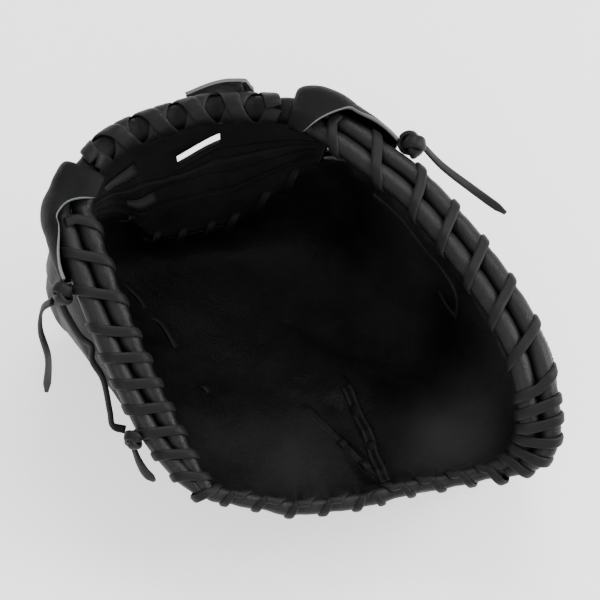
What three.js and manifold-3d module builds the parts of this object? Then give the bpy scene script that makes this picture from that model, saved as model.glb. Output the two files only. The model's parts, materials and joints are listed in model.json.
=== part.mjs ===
// A first baseman mitt for the left hand, lying on its back with the pocket up.
// Millimetres, +Z up: thumb side at -X, finger side at +X, wrist at -Y, web at +Y.
import * as THREE from "three";
import { mergeVertices } from "three/addons/utils/BufferGeometryUtils.js";
import Module from "manifold-3d";

const wasm = await Module();
wasm.setup();

// Size of the rim, measured along the slit between its two rolls
const RIM_WIDTH = 261;
const RIM_LENGTH = 214;
const RIM_HEIGHT = 142;

// Rolls of the rim and of the web
const ROLL_RADIUS = 5.8;
const SLIT = 0.6;
const WEB_ROLL_RADIUS = 7.2;

// Pocket
const POCKET_ACROSS = -8;
const POCKET_ALONG = 12;
const POCKET_FLOOR = 27;
const PALM_WALL = 5;
const BELLY = 9;
const WALL_STEEPNESS = 1.4;
const RELIEF_START = 0.15;
const HEEL_PAD_HEIGHT = 6;
const THUMB_PAD_HEIGHT = 4;
const HEEL_CREASE_DEPTH = 5;

// Backs of the fingers and of the thumb
const SHELL_WALL = 3;
const FINGER_STALL_DEPTH = 40;
const THUMB_STALL_DEPTH = 40;
const STALL_RIDGE = 3;
const ROLL_SIDE_DEPTH = 0.1;
const SHELL_TURN_DEPTH = 0.2;

// Web
const WEB_DEPTH = 70;
const WEB_LEAN = 0.3;
const WEB_WALL = 4;

// Hoods over the two tips
const HOOD_WALL = 2.2;
const HOOD_CAP = 0.25;
const HOOD_OPENING = 0.2;
const HOOD_FLAP = 0.42;
const HOOD_FLARE = 3;

// Lacing
const LACE_WIDTH = 6.2;
const LACE_THICKNESS = 1.8;
const WEB_LACE_WIDTH = 7;
const SEAM_LACE_WIDTH = 4.4;

// Wrist strap
const STRAP_WIDTH = 28;
const STRAP_THICKNESS = 2.5;

// Loop behind the web
const TAB_HEIGHT = 26;
const TAB_WALL = 2.4;

// Tails of the laces
const TAIL_WIDTH = 5;
const TAIL_THICKNESS = 2;
const KNOT_RADIUS = 4.2;
const KNOT_STRAND = 2.1;
const KNOT_TURNS = 2;
const KNOT_CROSSINGS = 3;

// Gap between neighbours
const GAP = 0.35;
const LACE_ROOM = 0.95;
const WEB_SEAM_GAP = 4 * GAP;
const SEAM_LACE_GAP = 1.8 * GAP;

// Leather colours
const BLACK_LEATHER = { color: 0x17181a, roughness: 0.5, metalness: 0 };
const PALM_LEATHER = { color: 0x101012, roughness: 0.6, metalness: 0 };
const RAWHIDE = { color: 0x1f1f20, roughness: 0.7, metalness: 0 };

// Stations round the rim, counter-clockwise from the middle of the heel.
// across, along and rise place the slit, as shares of the rim's width, length and height.
// roll is the share of the roll's radius, outer is 1 where the rim has its outer roll.
// steep shapes the pocket's wall, stall is the share of the stall's depth,
// drop is the share of the web's depth by which the palm's edge lies below the rim.
const RIM_COLUMNS = ["across", "along", "rise", "roll", "outer", "steep", "stall", "drop"];
const RIM_ROWS = [
  [-0.011, -0.607, 0.408, 0.72, 0, 0.12, 0.1, 0],
  [0.123, -0.584, 0.401, 0.72, 0, 0.12, 0.1, 0],
  [0.23, -0.551, 0.415, 0.72, 0, 0.15, 0.1, 0],
  [0.335, -0.537, 0.451, 0.75, 0, 0.2, 0.3, 0],
  [0.432, -0.519, 0.514, 0.85, 0.5, 0.3, 0.6, 0],
  [0.485, -0.472, 0.606, 1, 1, 0.45, 0.72, 0],
  [0.487, -0.388, 0.711, 1, 1, 0.65, 0.85, 0],
  [0.455, -0.252, 0.824, 1, 1, 0.85, 0.95, 0],
  [0.368, -0.07, 0.908, 1, 1, 0.95, 1, 0],
  [0.249, 0.126, 0.958, 1, 1, 1, 1, 0],
  [0.169, 0.215, 0.979, 1, 1, 1, 1, 0],
  [0.092, 0.294, 0.993, 1, 1, 1, 0.8, 0.12],
  [0, 0.364, 1, 1, 1, 1, 0.25, 0.5],
  [-0.161, 0.393, 0.972, 1, 1, 1, 0.2, 1],
  [-0.264, 0.374, 0.951, 1, 1, 1, 0.2, 1],
  [-0.372, 0.322, 0.937, 1, 1, 1, 0.2, 0.9],
  [-0.437, 0.248, 0.93, 1, 1, 1, 0.3, 0.5],
  [-0.479, 0.117, 0.915, 1, 1, 1, 0.85, 0.1],
  [-0.464, 0.037, 0.901, 1, 1, 0.95, 0.85, 0],
  [-0.421, -0.107, 0.831, 1, 1, 0.85, 0.65, 0],
  [-0.356, -0.28, 0.704, 1, 1, 0.7, 0.5, 0],
  [-0.291, -0.416, 0.563, 0.95, 1, 0.5, 0.62, 0],
  [-0.211, -0.561, 0.465, 0.8, 0.4, 0.25, 0.5, 0],
  [-0.149, -0.584, 0.437, 0.72, 0, 0.15, 0.1, 0],
  [-0.073, -0.598, 0.423, 0.72, 0, 0.12, 0.1, 0],
];

// Where each piece starts and ends, in stations of the rim
const SPANS = {
  palmRoll: [-8.65, 12.1],
  fingerRoll: [5, 12.1],
  thumbRoll: [16.35, 21],
  webRoll: [12.2, 16.25],
  fingerBack: [5, 12.3],
  thumbBack: [16.1, 21.6],
  web: [11.2, 16.9],
  fingerHood: [12.1, 10.05],
  thumbHood: [16.35, 18.75],
};

// Turns of the rim's lacing, from the finger tip to the thumb tip, in stations
const RIM_LACE_RUNS = [
  { from: 11.3, to: 9, turns: 2 },
  { from: 9, to: 4.2, turns: 10 },
  { from: 4.2, to: -1.8, turns: 9 },
  { from: -1.8, to: -5.4, turns: 8 },
  { from: -5.4, to: -7.2, turns: 3 },
];
const WEB_LACE_TURNS = 5;
const WEB_LACE_START = 90;
const WEB_LACE_UNDER = LACE_THICKNESS / 2 + LACE_ROOM;
const WEB_LACE_OVER = WEB_LACE_UNDER + LACE_THICKNESS + 2 * LACE_ROOM;
const WEB_LACING_RADIUS = WEB_ROLL_RADIUS + WEB_LACE_OVER + LACE_THICKNESS / 2;
const SEAM_LACE_TURNS = 7;

// Wrist strap and the loop behind the web
const STRAP = {
  finger: 6.1,
  thumb: 21,
  depths: [0.3, 0.42],
  along: -0.34,
  across: [0.27, 0.15, 0.02, -0.1],
};
const TAB_SPAN = [12.65, 13.7];
const TAB_RISE = 0.28;
const TAB_FOOT = 0.55;
const TAB_ROUNDNESS = 0.6;
const TAB_COLUMNS = 6;

// Knots beside the outer roll, and the routes of the tails that hang from them
const KNOTS = {
  right: { station: 9.73, outward: 14.5, upward: 2, size: 1 },
  left: { station: 18.91, outward: 13.5, upward: 0, size: 0.9 },
  lower: { station: 20.95, outward: 11, upward: 3, size: 0.75 },
};
const TAILS = {
  right: [[68.7, 56.9, 138.1], [80, 54, 123.5], [97, 52, 105], [117, 49, 85]],
  left: [[-134.2, -28.7, 114.1], [-141, -27, 103], [-144, -27, 81], [-142.5, -27, 50], [-147, -27, 13]],
  lower: [[-90, -98.2, 77.3], [-88, -99, 63], [-85, -99, 49], [-81, -99, 39.4]],
};

// Raised pads of the palm and the crease between them, placed by shares of the rim's size
const PADS = [
  { across: 0.33, along: -0.28, radius: 0.17, height: HEEL_PAD_HEIGHT },
  { across: -0.2, along: -0.27, radius: 0.16, height: THUMB_PAD_HEIGHT },
];
const CREASE = { from: [0.17, -0.56], to: [0.05, -0.22], width: 0.06 };

// Slot through the web: shares of its length from the finger side, and of its depth.
// slope is how much deeper the far end lies
const WEB_SLOT = { from: 0.4, to: 0.56, top: 0.1, foot: 0.21, slope: 0.13 };

// Fineness of the facets and of the search along the rim
const FINEST = 0.05;
const MERGED = 1e-4;
const COLUMN_STEP = 9.5;
const NEAREST_COLUMN = 0.15;
const RIM_FINE = 16;
const KNOT_STEPS = 21;
const KNOT_SIDES = 5;
const TAIL_STEP = 12.5;

const rimCount = RIM_ROWS.length;
const clamp = THREE.MathUtils.clamp;
const lerp = THREE.MathUtils.lerp;
const smooth = (t) => THREE.MathUtils.smoothstep(t, 0, 1);

// Value of one column of the rim's table at a station, on a smooth closed curve
function rimValue(column, station) {
  const k = RIM_COLUMNS.indexOf(column);
  const i = Math.floor(station);
  const t = station - i;
  const row = (step) => RIM_ROWS[(((i + step) % rimCount) + rimCount) % rimCount][k];
  const slopeIn = (row(1) - row(-1)) / 2;
  const slopeOut = (row(2) - row(0)) / 2;
  const bend = 3 * (row(1) - row(0)) - 2 * slopeIn - slopeOut;
  const twist = 2 * (row(0) - row(1)) + slopeIn + slopeOut;
  return row(0) + t * (slopeIn + t * (bend + t * twist));
}

function rimPoint(station) {
  return new THREE.Vector3(
    RIM_WIDTH * rimValue("across", station),
    RIM_LENGTH * rimValue("along", station),
    RIM_HEIGHT * rimValue("rise", station),
  );
}

// Place on the rim with its directions: along it, out of the mitt and up
function rimFrame(station) {
  const reach = 0.05;
  const ahead = rimPoint(station + reach).sub(rimPoint(station - reach)).normalize();
  const out = new THREE.Vector3(ahead.y, -ahead.x, 0).normalize();
  const up = new THREE.Vector3().crossVectors(out, ahead).normalize();
  return { station, centre: rimPoint(station), ahead, out, up };
}

const offset = (frame, outward, upward) =>
  frame.centre.clone().addScaledVector(frame.out, outward).addScaledVector(frame.up, upward);

// Stations an equal length apart along the rim
function stationsBetween(from, to, count) {
  const fine = Math.max(2, Math.ceil(Math.abs(to - from) * RIM_FINE));
  const station = (k) => from + ((to - from) * k) / fine;
  const lengths = [0];
  for (let k = 1; k <= fine; k += 1) {
    lengths.push(lengths[k - 1] + rimPoint(station(k)).distanceTo(rimPoint(station(k - 1))));
  }
  const found = [];
  for (let n = 0, k = 0; n <= count; n += 1) {
    const wanted = (lengths[fine] * n) / count;
    while (k < fine - 1 && lengths[k + 1] < wanted) k += 1;
    found.push(station(k + (wanted - lengths[k]) / (lengths[k + 1] - lengths[k])));
  }
  return found;
}

function lengthBetween(from, to) {
  const fine = Math.ceil(Math.abs(to - from) * RIM_FINE);
  let length = 0;
  for (let k = 0; k < fine; k += 1) {
    const here = from + ((to - from) * k) / fine;
    length += rimPoint(here).distanceTo(rimPoint(here + (to - from) / fine));
  }
  return length;
}

// Columns that all the walls share, and those of a span with its two ends
const COLUMNS = stationsBetween(0, rimCount, Math.round(lengthBetween(0, rimCount) / COLUMN_STEP));

function wallColumns([from, to]) {
  const turns = [-rimCount, 0].flatMap((turn) => COLUMNS.slice(0, -1).map((c) => c + turn));
  return turns.filter((c) => c > from && c < to);
}

function columnsOf([from, to]) {
  return [from, ...wallColumns([from + NEAREST_COLUMN, to - NEAREST_COLUMN]), to];
}

// Radius and centres of the two rolls at a station
function rollsAt(station) {
  const radius = ROLL_RADIUS * clamp(rimValue("roll", station), 0.6, 1);
  const outer = clamp(rimValue("outer", station), 0, 1);
  const inner = -(radius + SLIT / 2);
  return { radius, inner, outer: lerp(inner, radius + SLIT / 2, outer) };
}

// Mesh from vertices and triangles, turned so that its faces point out
function closedGeometry(vertices, triangles) {
  const corner = (k) => new THREE.Vector3().fromArray(vertices, 3 * k);
  let volume = 0;
  for (let k = 0; k < triangles.length; k += 3) {
    const [a, b, c] = [0, 1, 2].map((n) => corner(triangles[k + n]));
    volume += a.dot(b.cross(c));
  }
  if (volume < 0) {
    triangles.reverse();
  }
  const geometry = new THREE.BufferGeometry();
  geometry.setAttribute("position", new THREE.Float32BufferAttribute(vertices, 3));
  geometry.setIndex(triangles);
  return geometry;
}

function quad(triangles, a, b, c, d) {
  for (const [p, q, r] of [[a, b, c], [a, c, d]]) {
    if (p !== q && q !== r && r !== p) {
      triangles.push(p, q, r);
    }
  }
}

// Wall between two grids of points: loop closes it round its columns,
// and pole draws its last row together in one point
function wallGeometry(front, back, { loop = false, pole = false } = {}) {
  const vertices = [];
  const triangles = [];
  const rows = front[0].length;
  const faces = [front, back].map((face) => {
    const columns = face.map((column) => column.map((p) => vertices.push(p.x, p.y, p.z) / 3 - 1));
    if (pole) {
      columns.forEach((column) => (column[rows - 1] = columns[0][rows - 1]));
    }
    return columns;
  });
  const [f, b] = faces;
  const last = loop ? f.length : f.length - 1;
  for (let i = 0; i < last; i += 1) {
    const n = (i + 1) % f.length;
    for (let j = 0; j < rows - 1; j += 1) {
      quad(triangles, f[i][j], f[n][j], f[n][j + 1], f[i][j + 1]);
      quad(triangles, b[n][j], b[i][j], b[i][j + 1], b[n][j + 1]);
    }
    quad(triangles, f[n][0], f[i][0], b[i][0], b[n][0]);
    if (!pole) {
      quad(triangles, f[i][rows - 1], f[n][rows - 1], b[n][rows - 1], b[i][rows - 1]);
    }
  }
  if (!loop) {
    for (let j = 0; j < rows - 1; j += 1) {
      quad(triangles, f[0][j], f[0][j + 1], b[0][j + 1], b[0][j]);
      quad(triangles, f[last][j + 1], f[last][j], b[last][j], b[last][j + 1]);
    }
  }
  const used = [...new Set(triangles)];
  const place = new Map(used.map((k, n) => [k, n]));
  const kept = used.flatMap((k) => vertices.slice(3 * k, 3 * k + 3));
  return closedGeometry(kept, triangles.map((k) => place.get(k)));
}

// Solid through rings with the same number of corners, closed at both ends
function ringsGeometry(rings) {
  const vertices = rings.flat().flatMap((p) => [p.x, p.y, p.z]);
  const sides = rings[0].length;
  const triangles = [];
  for (let i = 0; i < rings.length - 1; i += 1) {
    for (let j = 0; j < sides; j += 1) {
      const n = (j + 1) % sides;
      quad(triangles, i * sides + j, i * sides + n, (i + 1) * sides + n, (i + 1) * sides + j);
    }
  }
  const end = (rings.length - 1) * sides;
  for (let j = 1; j < sides - 1; j += 1) {
    triangles.push(0, j + 1, j, end, end + j, end + j + 1);
  }
  return closedGeometry(vertices, triangles);
}

// Sections of a flat band along a path of places, each with the direction that its face looks to
function bandRings(places, width, thickness) {
  return places.map(({ at, face }, i) => {
    const before = places[Math.max(i - 1, 0)].at;
    const after = places[Math.min(i + 1, places.length - 1)].at;
    const along = after.clone().sub(before).normalize();
    const normal = face.clone().addScaledVector(along, -face.dot(along)).normalize();
    const side = new THREE.Vector3().crossVectors(along, normal);
    return [[1, 1], [-1, 1], [-1, -1], [1, -1]].map(([s, n]) =>
      at.clone().addScaledVector(side, (s * width) / 2).addScaledVector(normal, (n * thickness) / 2),
    );
  });
}

const bandGeometry = (places, width, thickness) =>
  ringsGeometry(bandRings(places, width, thickness));

// Solids for cutting, and back to geometry
function solidOf(geometry) {
  const bare = new THREE.BufferGeometry();
  bare.setAttribute("position", geometry.getAttribute("position").clone());
  bare.setIndex(geometry.getIndex());
  const merged = mergeVertices(bare, MERGED);
  return new wasm.Manifold(
    new wasm.Mesh({
      numProp: 3,
      vertProperties: merged.getAttribute("position").array,
      triVerts: new Uint32Array(merged.getIndex().array),
    }),
  );
}

// Largest body of a solid, without the crumbs that a cut leaves
const mainBody = (solid) =>
  solid.decompose().reduce((best, body) => (body.volume() > best.volume() ? body : best));

function geometryOf(solid) {
  const mesh = solid.getMesh();
  const geometry = new THREE.BufferGeometry();
  geometry.setAttribute("position", new THREE.Float32BufferAttribute(mesh.vertProperties, 3));
  geometry.setIndex(Array.from(mesh.triVerts));
  return geometry;
}

// Room that a band needs with its gap, joined stretch by stretch
function bandRoom(places, width, thickness, gap) {
  const rings = bandRings(places, width + 2 * gap, thickness + 2 * gap);
  const stretches = rings.slice(1).map((ring, i) => solidOf(ringsGeometry([rings[i], ring])));
  return stretches.reduce((room, stretch) => room.add(stretch));
}

function cut(geometry, ...rooms) {
  const left = rooms.reduce((solid, room) => solid.subtract(room), solidOf(geometry));
  return geometryOf(mainBody(left.simplify(FINEST)));
}

// Height that the pads and the crease add to the palm
function palmRelief(x, y) {
  let height = 0;
  for (const pad of PADS) {
    const distance = Math.hypot(x - pad.across * RIM_WIDTH, y - pad.along * RIM_LENGTH);
    height += pad.height * smooth(1 - distance / (pad.radius * RIM_WIDTH));
  }
  const [ax, ay] = [CREASE.from[0] * RIM_WIDTH, CREASE.from[1] * RIM_LENGTH];
  const [bx, by] = [CREASE.to[0] * RIM_WIDTH, CREASE.to[1] * RIM_LENGTH];
  const run = (bx - ax) ** 2 + (by - ay) ** 2;
  const share = clamp(((x - ax) * (bx - ax) + (y - ay) * (by - ay)) / run, 0, 1);
  const aside = Math.hypot(x - lerp(ax, bx, share), y - lerp(ay, by, share));
  return height - HEEL_CREASE_DEPTH * smooth(1 - aside / (CREASE.width * RIM_WIDTH));
}

// Edge of the palm: under the inner roll, and lower where the web fills the gap
function palmEdge(frame) {
  const { radius, inner } = rollsAt(frame.station);
  const drop = WEB_DEPTH * clamp(rimValue("drop", frame.station), 0, 1);
  const edge = offset(frame, inner - WEB_LEAN * drop, -wallDrop(radius));
  edge.z -= drop;
  return edge;
}

const POCKET = new THREE.Vector3(POCKET_ACROSS, POCKET_ALONG, POCKET_FLOOR);

// Point on the pocket's surface: depth runs from 0 at the palm's edge to 1 at its middle
function palmPoint(frame, depth) {
  const edge = palmEdge(frame);
  const steep = clamp(rimValue("steep", frame.station), 0, 1);
  const inward = depth ** (1 + WALL_STEEPNESS * steep);
  const down = 1 - (1 - depth) ** (1 + WALL_STEEPNESS * steep);
  const point = new THREE.Vector3(
    lerp(edge.x, POCKET.x, inward),
    lerp(edge.y, POCKET.y, inward),
    lerp(edge.z, POCKET.z, down),
  );
  const belly = (BELLY * steep * (edge.z - POCKET.z)) / (RIM_HEIGHT - POCKET.z);
  point.addScaledVector(frame.out, belly * Math.sin(Math.PI * depth) * (1 - depth));
  point.z += palmRelief(point.x, point.y) * smooth(depth / RELIEF_START);
  return point;
}

// Direction away from the hand's side of the palm: out at the rim and down in the middle
function palmOutward(frame, depth) {
  const step = 0.02;
  const near = palmPoint(frame, Math.max(depth - step, 0));
  const far = palmPoint(frame, Math.min(depth + step, 1));
  const fall = Math.max(near.z - far.z, 0);
  const inward = Math.max(near.clone().sub(far).dot(frame.out), 0);
  return frame.out.clone().multiplyScalar(fall).add(new THREE.Vector3(0, 0, -inward)).normalize();
}

const PALM_DEPTHS = [0, 0.08, 0.2, 0.36, 0.54, 0.72, 1];

function palmGrid(frames, depths, thickness) {
  return frames.map((frame) =>
    depths.map((depth) =>
      palmPoint(frame, depth).addScaledVector(
        depth < 1 ? palmOutward(frame, depth) : new THREE.Vector3(0, 0, -1),
        thickness,
      ),
    ),
  );
}

function palmGeometry() {
  const frames = COLUMNS.slice(0, -1).map(rimFrame);
  const front = palmGrid(frames, PALM_DEPTHS, 0);
  const back = palmGrid(frames, PALM_DEPTHS, PALM_WALL);
  return wallGeometry(front, back, { loop: true, pole: true });
}

// Rolls: six-sided, with a corner at the top
const ROLL_ANGLES = [90, 150, 210, 270, 330, 30];

function rollGeometry(span, centreOf) {
  const rings = columnsOf(span).map((station) => {
    const frame = rimFrame(station);
    const { middle, radius } = centreOf(station);
    return ROLL_ANGLES.map((angle) => {
      const turn = THREE.MathUtils.degToRad(angle);
      return offset(frame, middle + radius * Math.cos(turn), radius * Math.sin(turn));
    });
  });
  return ringsGeometry(rings);
}

const innerRoll = (station) => ({ middle: rollsAt(station).inner, radius: rollsAt(station).radius });
const outerRoll = (station) => ({ middle: rollsAt(station).outer, radius: rollsAt(station).radius });
const webRoll = () => ({ middle: 0, radius: WEB_ROLL_RADIUS });

// Path round both rolls: corners of the section, each on one of the rolls
const TURN_CORNERS = [
  { roll: "outer", angle: 90, share: 0.16 },
  { roll: "outer", angle: 30, share: 0.28 },
  { roll: "outer", angle: -30, share: 0.38 },
  { roll: "outer", angle: -90, share: 0.46 },
  { roll: "inner", angle: -90, share: 0.6 },
  { roll: "inner", angle: -150, share: 0.68 },
  { roll: "inner", angle: 150, share: 0.78 },
  { roll: "inner", angle: 90, share: 0.9 },
];

// Distance from a roll's centre to the middle of the lacing round it, and to the walls below
const laceLift = (radius) => radius + LACE_THICKNESS / 2 + LACE_ROOM;
const wallDrop = (radius) => radius + LACE_THICKNESS + LACE_ROOM + GAP;

// Direction in a section of the rim, 0 pointing out and 90 pointing up
function sectionDirection(frame, angle) {
  const turn = THREE.MathUtils.degToRad(angle);
  return frame.out
    .clone()
    .multiplyScalar(Math.cos(turn))
    .addScaledVector(frame.up, Math.sin(turn));
}

function rimLacePlaces() {
  const places = [];
  for (const { from, to, turns } of RIM_LACE_RUNS) {
    const marks = stationsBetween(from, to, turns);
    for (let turn = 0; turn < turns; turn += 1) {
      for (const { roll, angle, share } of TURN_CORNERS) {
        const frame = rimFrame(lerp(marks[turn], marks[turn + 1], share));
        const rolls = rollsAt(frame.station);
        const lift = laceLift(rolls.radius);
        const face = sectionDirection(frame, angle);
        places.push({ at: offset(frame, rolls[roll], 0).addScaledVector(face, lift), face });
      }
    }
  }
  return places;
}

// Lacing that winds round one roll, one way or the other
function webLacePlaces(sense, lift) {
  const corners = 6;
  const inset = 0.12;
  const [from, to] = SPANS.webRoll;
  const stations = stationsBetween(from + inset, to - inset, WEB_LACE_TURNS * corners);
  return stations.map((station, k) => {
    const frame = rimFrame(station);
    const face = sectionDirection(frame, WEB_LACE_START + (sense * 360 * k) / corners);
    return { at: frame.centre.clone().addScaledVector(face, WEB_ROLL_RADIUS + lift), face };
  });
}

// Back of a stall: it leaves the outer roll, follows the palm at the stall's depth, sags flat
// on the ground and comes up to the palm at its inner edge
const SHELL_ROWS = [
  { depth: 0, open: 0, ridge: 0, sag: 0 },
  { depth: 0.08, open: 0.36, ridge: 0, sag: 0 },
  { depth: 0.2, open: 0.62, ridge: 0, sag: 0 },
  { depth: 0.28, open: 0.82, ridge: 0.8, sag: 0.02 },
  { depth: 0.36, open: 1, ridge: 0, sag: 0.12 },
  { depth: 0.46, open: 1.05, ridge: 0.4, sag: 0.4 },
  { depth: 0.56, open: 1, ridge: 0, sag: 0.6 },
  { depth: 0.68, open: 0.95, ridge: 0, sag: 0.6 },
  { depth: 0.72, open: 0, ridge: 0, sag: 0 },
];

function shellPoint(frame, row, stallDepth, inset) {
  const { inner, outer } = rollsAt(frame.station);
  const wide = lerp(outer - inner, stallDepth, clamp(rimValue("stall", frame.station), 0, 1));
  const shut = PALM_WALL + 2 * GAP + SHELL_WALL;
  const start = row.depth < ROLL_SIDE_DEPTH ? outer - inner + SHELL_WALL / 2 : shut;
  const distance = lerp(start, Math.max(wide, shut), row.open) - STALL_RIDGE * row.ridge - inset;
  const turned = smooth(row.depth / SHELL_TURN_DEPTH);
  const outward = palmOutward(frame, row.depth).lerp(frame.out, 1 - turned);
  const point = palmPoint(frame, row.depth).addScaledVector(outward.normalize(), distance);
  point.z = Math.max(point.z - row.sag * wide, inset);
  return point;
}

function shellGeometry(span, stallDepth, gap = 0) {
  const frames = wallColumns(span).map(rimFrame);
  const face = (inset) =>
    frames.map((frame) => SHELL_ROWS.map((row) => shellPoint(frame, row, stallDepth, inset)));
  return wallGeometry(face(-gap), face(SHELL_WALL + gap));
}

// Room that a back needs with its gap, also beyond its wrist edge
function shellRoom(span, stallDepth) {
  const room = solidOf(shellGeometry(span, stallDepth, GAP));
  return room.add(room.translate([0, -2 * GAP, 0]));
}

// Web: from under its roll down to the palm's edge
function webPoint(frame, share, outward) {
  const top = offset(frame, -WEB_WALL / 2, -(WEB_LACING_RADIUS + GAP));
  const foot = palmEdge(frame);
  foot.z += WEB_SEAM_GAP;
  return top.lerp(foot, share).addScaledVector(frame.out, outward);
}

function webGeometry() {
  const frames = wallColumns(SPANS.web).map(rimFrame);
  const shares = [0, 0.33, 0.66, 1];
  const face = (outward) => frames.map((frame) => shares.map((s) => webPoint(frame, s, outward)));
  return wallGeometry(face(0), face(WEB_WALL));
}

function webSlotRoom({ from, to, top, foot, slope }) {
  const [start, end] = SPANS.web;
  const steps = 3;
  const frames = stationsBetween(lerp(start, end, from), lerp(start, end, to), steps).map(rimFrame);
  const face = (outward) =>
    frames.map((frame, k) =>
      [top, foot].map((share) => webPoint(frame, share + (slope * k) / steps, outward)),
    );
  return solidOf(wallGeometry(face(-2 * WEB_WALL), face(3 * WEB_WALL)));
}

// Lacing of the seam between web and palm: through the web above it and the palm below it
const SEAM_LACE_CORNERS = 6;
const SEAM_LACE_ACROSS = Math.max(WEB_WALL, PALM_WALL) / 2;

function seamLacePlaces() {
  const [start, end] = SPANS.web;
  const inset = 0.5;
  const steps = SEAM_LACE_TURNS * SEAM_LACE_CORNERS;
  const stations = stationsBetween(start + inset, end - inset, steps);
  const reach = SEAM_LACE_ACROSS + LACE_THICKNESS / 2 + WEB_SEAM_GAP;
  return stations.map((station, k) => {
    const frame = rimFrame(station);
    const turn = (2 * Math.PI * (k + 0.5)) / SEAM_LACE_CORNERS;
    const face = frame.out.clone().multiplyScalar(Math.cos(turn));
    face.z = Math.sin(turn);
    const at = palmEdge(frame).addScaledVector(frame.out, SEAM_LACE_ACROSS + reach * Math.cos(turn));
    at.z += SEAM_LACE_WIDTH * Math.sin(turn);
    return { at, face };
  });
}

// Hoods: a cap over both rolls at the tip, then a flap that arches over the outer roll alone.
// The section runs from the outside of the outer roll to the inside of the inner one.
const HOOD_CAP_LIFT = LACE_THICKNESS + GAP;
const HOOD_FLAP_LIFT = LACE_THICKNESS + 2 * LACE_ROOM + GAP;
const HOOD_SECTION = [
  { roll: 1, angle: -12 },
  { roll: 1, angle: 39 },
  { roll: 1, angle: 90 },
  { roll: 0, angle: 90 },
  { roll: 0, angle: 150 },
];

function hoodPoint(frame, share, lift) {
  const place = share * (HOOD_SECTION.length - 1);
  const k = Math.min(Math.floor(place), HOOD_SECTION.length - 2);
  const [before, after] = [HOOD_SECTION[k], HOOD_SECTION[k + 1]];
  const { radius, inner, outer } = rollsAt(frame.station);
  const middle = lerp(inner, outer, lerp(before.roll, after.roll, place - k));
  const face = sectionDirection(frame, lerp(before.angle, after.angle, place - k));
  return offset(frame, middle, 0).addScaledVector(face, radius + lift);
}

function hoodGeometry([tip, foot]) {
  const stations = columnsOf([Math.min(tip, foot), Math.max(tip, foot)]);
  const shares = [0, 0.25, 0.5, 0.75, 1];
  const face = (wall) =>
    stations.map((station) => {
      const along = (station - tip) / (foot - tip);
      const open = smooth((along - HOOD_CAP) / HOOD_OPENING);
      const reach = lerp(1, HOOD_FLAP, open);
      const lift = lerp(HOOD_CAP_LIFT, HOOD_FLAP_LIFT, open) + wall;
      const flare = HOOD_FLARE * open * Math.sin(Math.PI * along);
      return shares.map((share) =>
        hoodPoint(rimFrame(station), share * reach, lift + flare * share ** 2),
      );
    });
  return wallGeometry(face(HOOD_WALL), face(0));
}

// Point on the outside of a back shell, between two rows of its table, lifted off it
function shellSurface(station, depth, stallDepth, lift) {
  const frame = rimFrame(station);
  const k = Math.max(1, SHELL_ROWS.findIndex((row) => row.depth >= depth));
  const [before, after] = [SHELL_ROWS[k - 1], SHELL_ROWS[k]];
  const share = (depth - before.depth) / (after.depth - before.depth);
  const face = (inset) =>
    shellPoint(frame, before, stallDepth, inset).lerp(
      shellPoint(frame, after, stallDepth, inset),
      share,
    );
  const at = face(0);
  const outward = at.clone().sub(face(SHELL_WALL)).normalize();
  return { at: at.addScaledVector(outward, lift), face: outward };
}

// Wrist strap: from the outside of the fingers' back, along the ground under the wrist, to the
// outside of the thumb's back
function strapPlaces() {
  const lift = STRAP_THICKNESS / 2 + GAP;
  const { finger, thumb, depths, along, across } = STRAP;
  const side = (station, stallDepth, depth) => shellSurface(station, depth, stallDepth, lift);
  return [
    ...depths.map((depth) => side(finger, FINGER_STALL_DEPTH, depth)),
    ...across.map((share) => ({
      at: new THREE.Vector3(share * RIM_WIDTH, along * RIM_LENGTH, STRAP_THICKNESS / 2),
      face: new THREE.Vector3(0, 0, -1),
    })),
    ...depths.toReversed().map((depth) => side(thumb, THUMB_STALL_DEPTH, depth)),
  ];
}

// Loop of leather that stands behind the web's roll
function tabGeometry() {
  const frames = stationsBetween(TAB_SPAN[0], TAB_SPAN[1], TAB_COLUMNS).map(rimFrame);
  const clear = WEB_LACING_RADIUS - 2 * GAP;
  const face = (outward) =>
    frames.map((frame, k) => {
      const arch = Math.sin((Math.PI * k) / TAB_COLUMNS) ** TAB_ROUNDNESS;
      return [-TAB_FOOT, 0, TAB_RISE * arch].map((share) =>
        offset(frame, clear + outward, share * TAB_HEIGHT),
      );
    });
  return wallGeometry(face(0), face(TAB_WALL));
}

// Knot of a lace, beside the outer roll
function knotAt({ station, outward, upward, size }) {
  const frame = rimFrame(station);
  const radius = size * KNOT_RADIUS;
  const knot = new THREE.TorusKnotGeometry(
    radius,
    size * KNOT_STRAND,
    KNOT_STEPS,
    KNOT_SIDES,
    KNOT_TURNS,
    KNOT_CROSSINGS,
  );
  knot.deleteAttribute("uv");
  knot.deleteAttribute("normal");
  const at = offset(frame, rollsAt(station).outer + outward, upward);
  const turn = new THREE.Matrix4().makeBasis(frame.ahead, frame.up, frame.out);
  return mergeVertices(knot.applyMatrix4(turn.setPosition(at)), MERGED);
}

// Free tail of a lace: a flat oval drawn along its chosen points
function tailGeometry(points) {
  const oval = new THREE.Shape();
  oval.absellipse(0, 0, TAIL_THICKNESS / 2, TAIL_WIDTH / 2, 0, 2 * Math.PI);
  const section = new THREE.Shape(oval.getSpacedPoints(8).slice(0, -1));
  const path = new THREE.CatmullRomCurve3(points.map((p) => new THREE.Vector3(...p)));
  const steps = Math.ceil(path.getLength() / TAIL_STEP);
  const tube = new THREE.ExtrudeGeometry(section, { steps, extrudePath: path, bevelEnabled: false });
  tube.deleteAttribute("uv");
  tube.deleteAttribute("normal");
  return mergeVertices(tube, MERGED);
}

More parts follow.
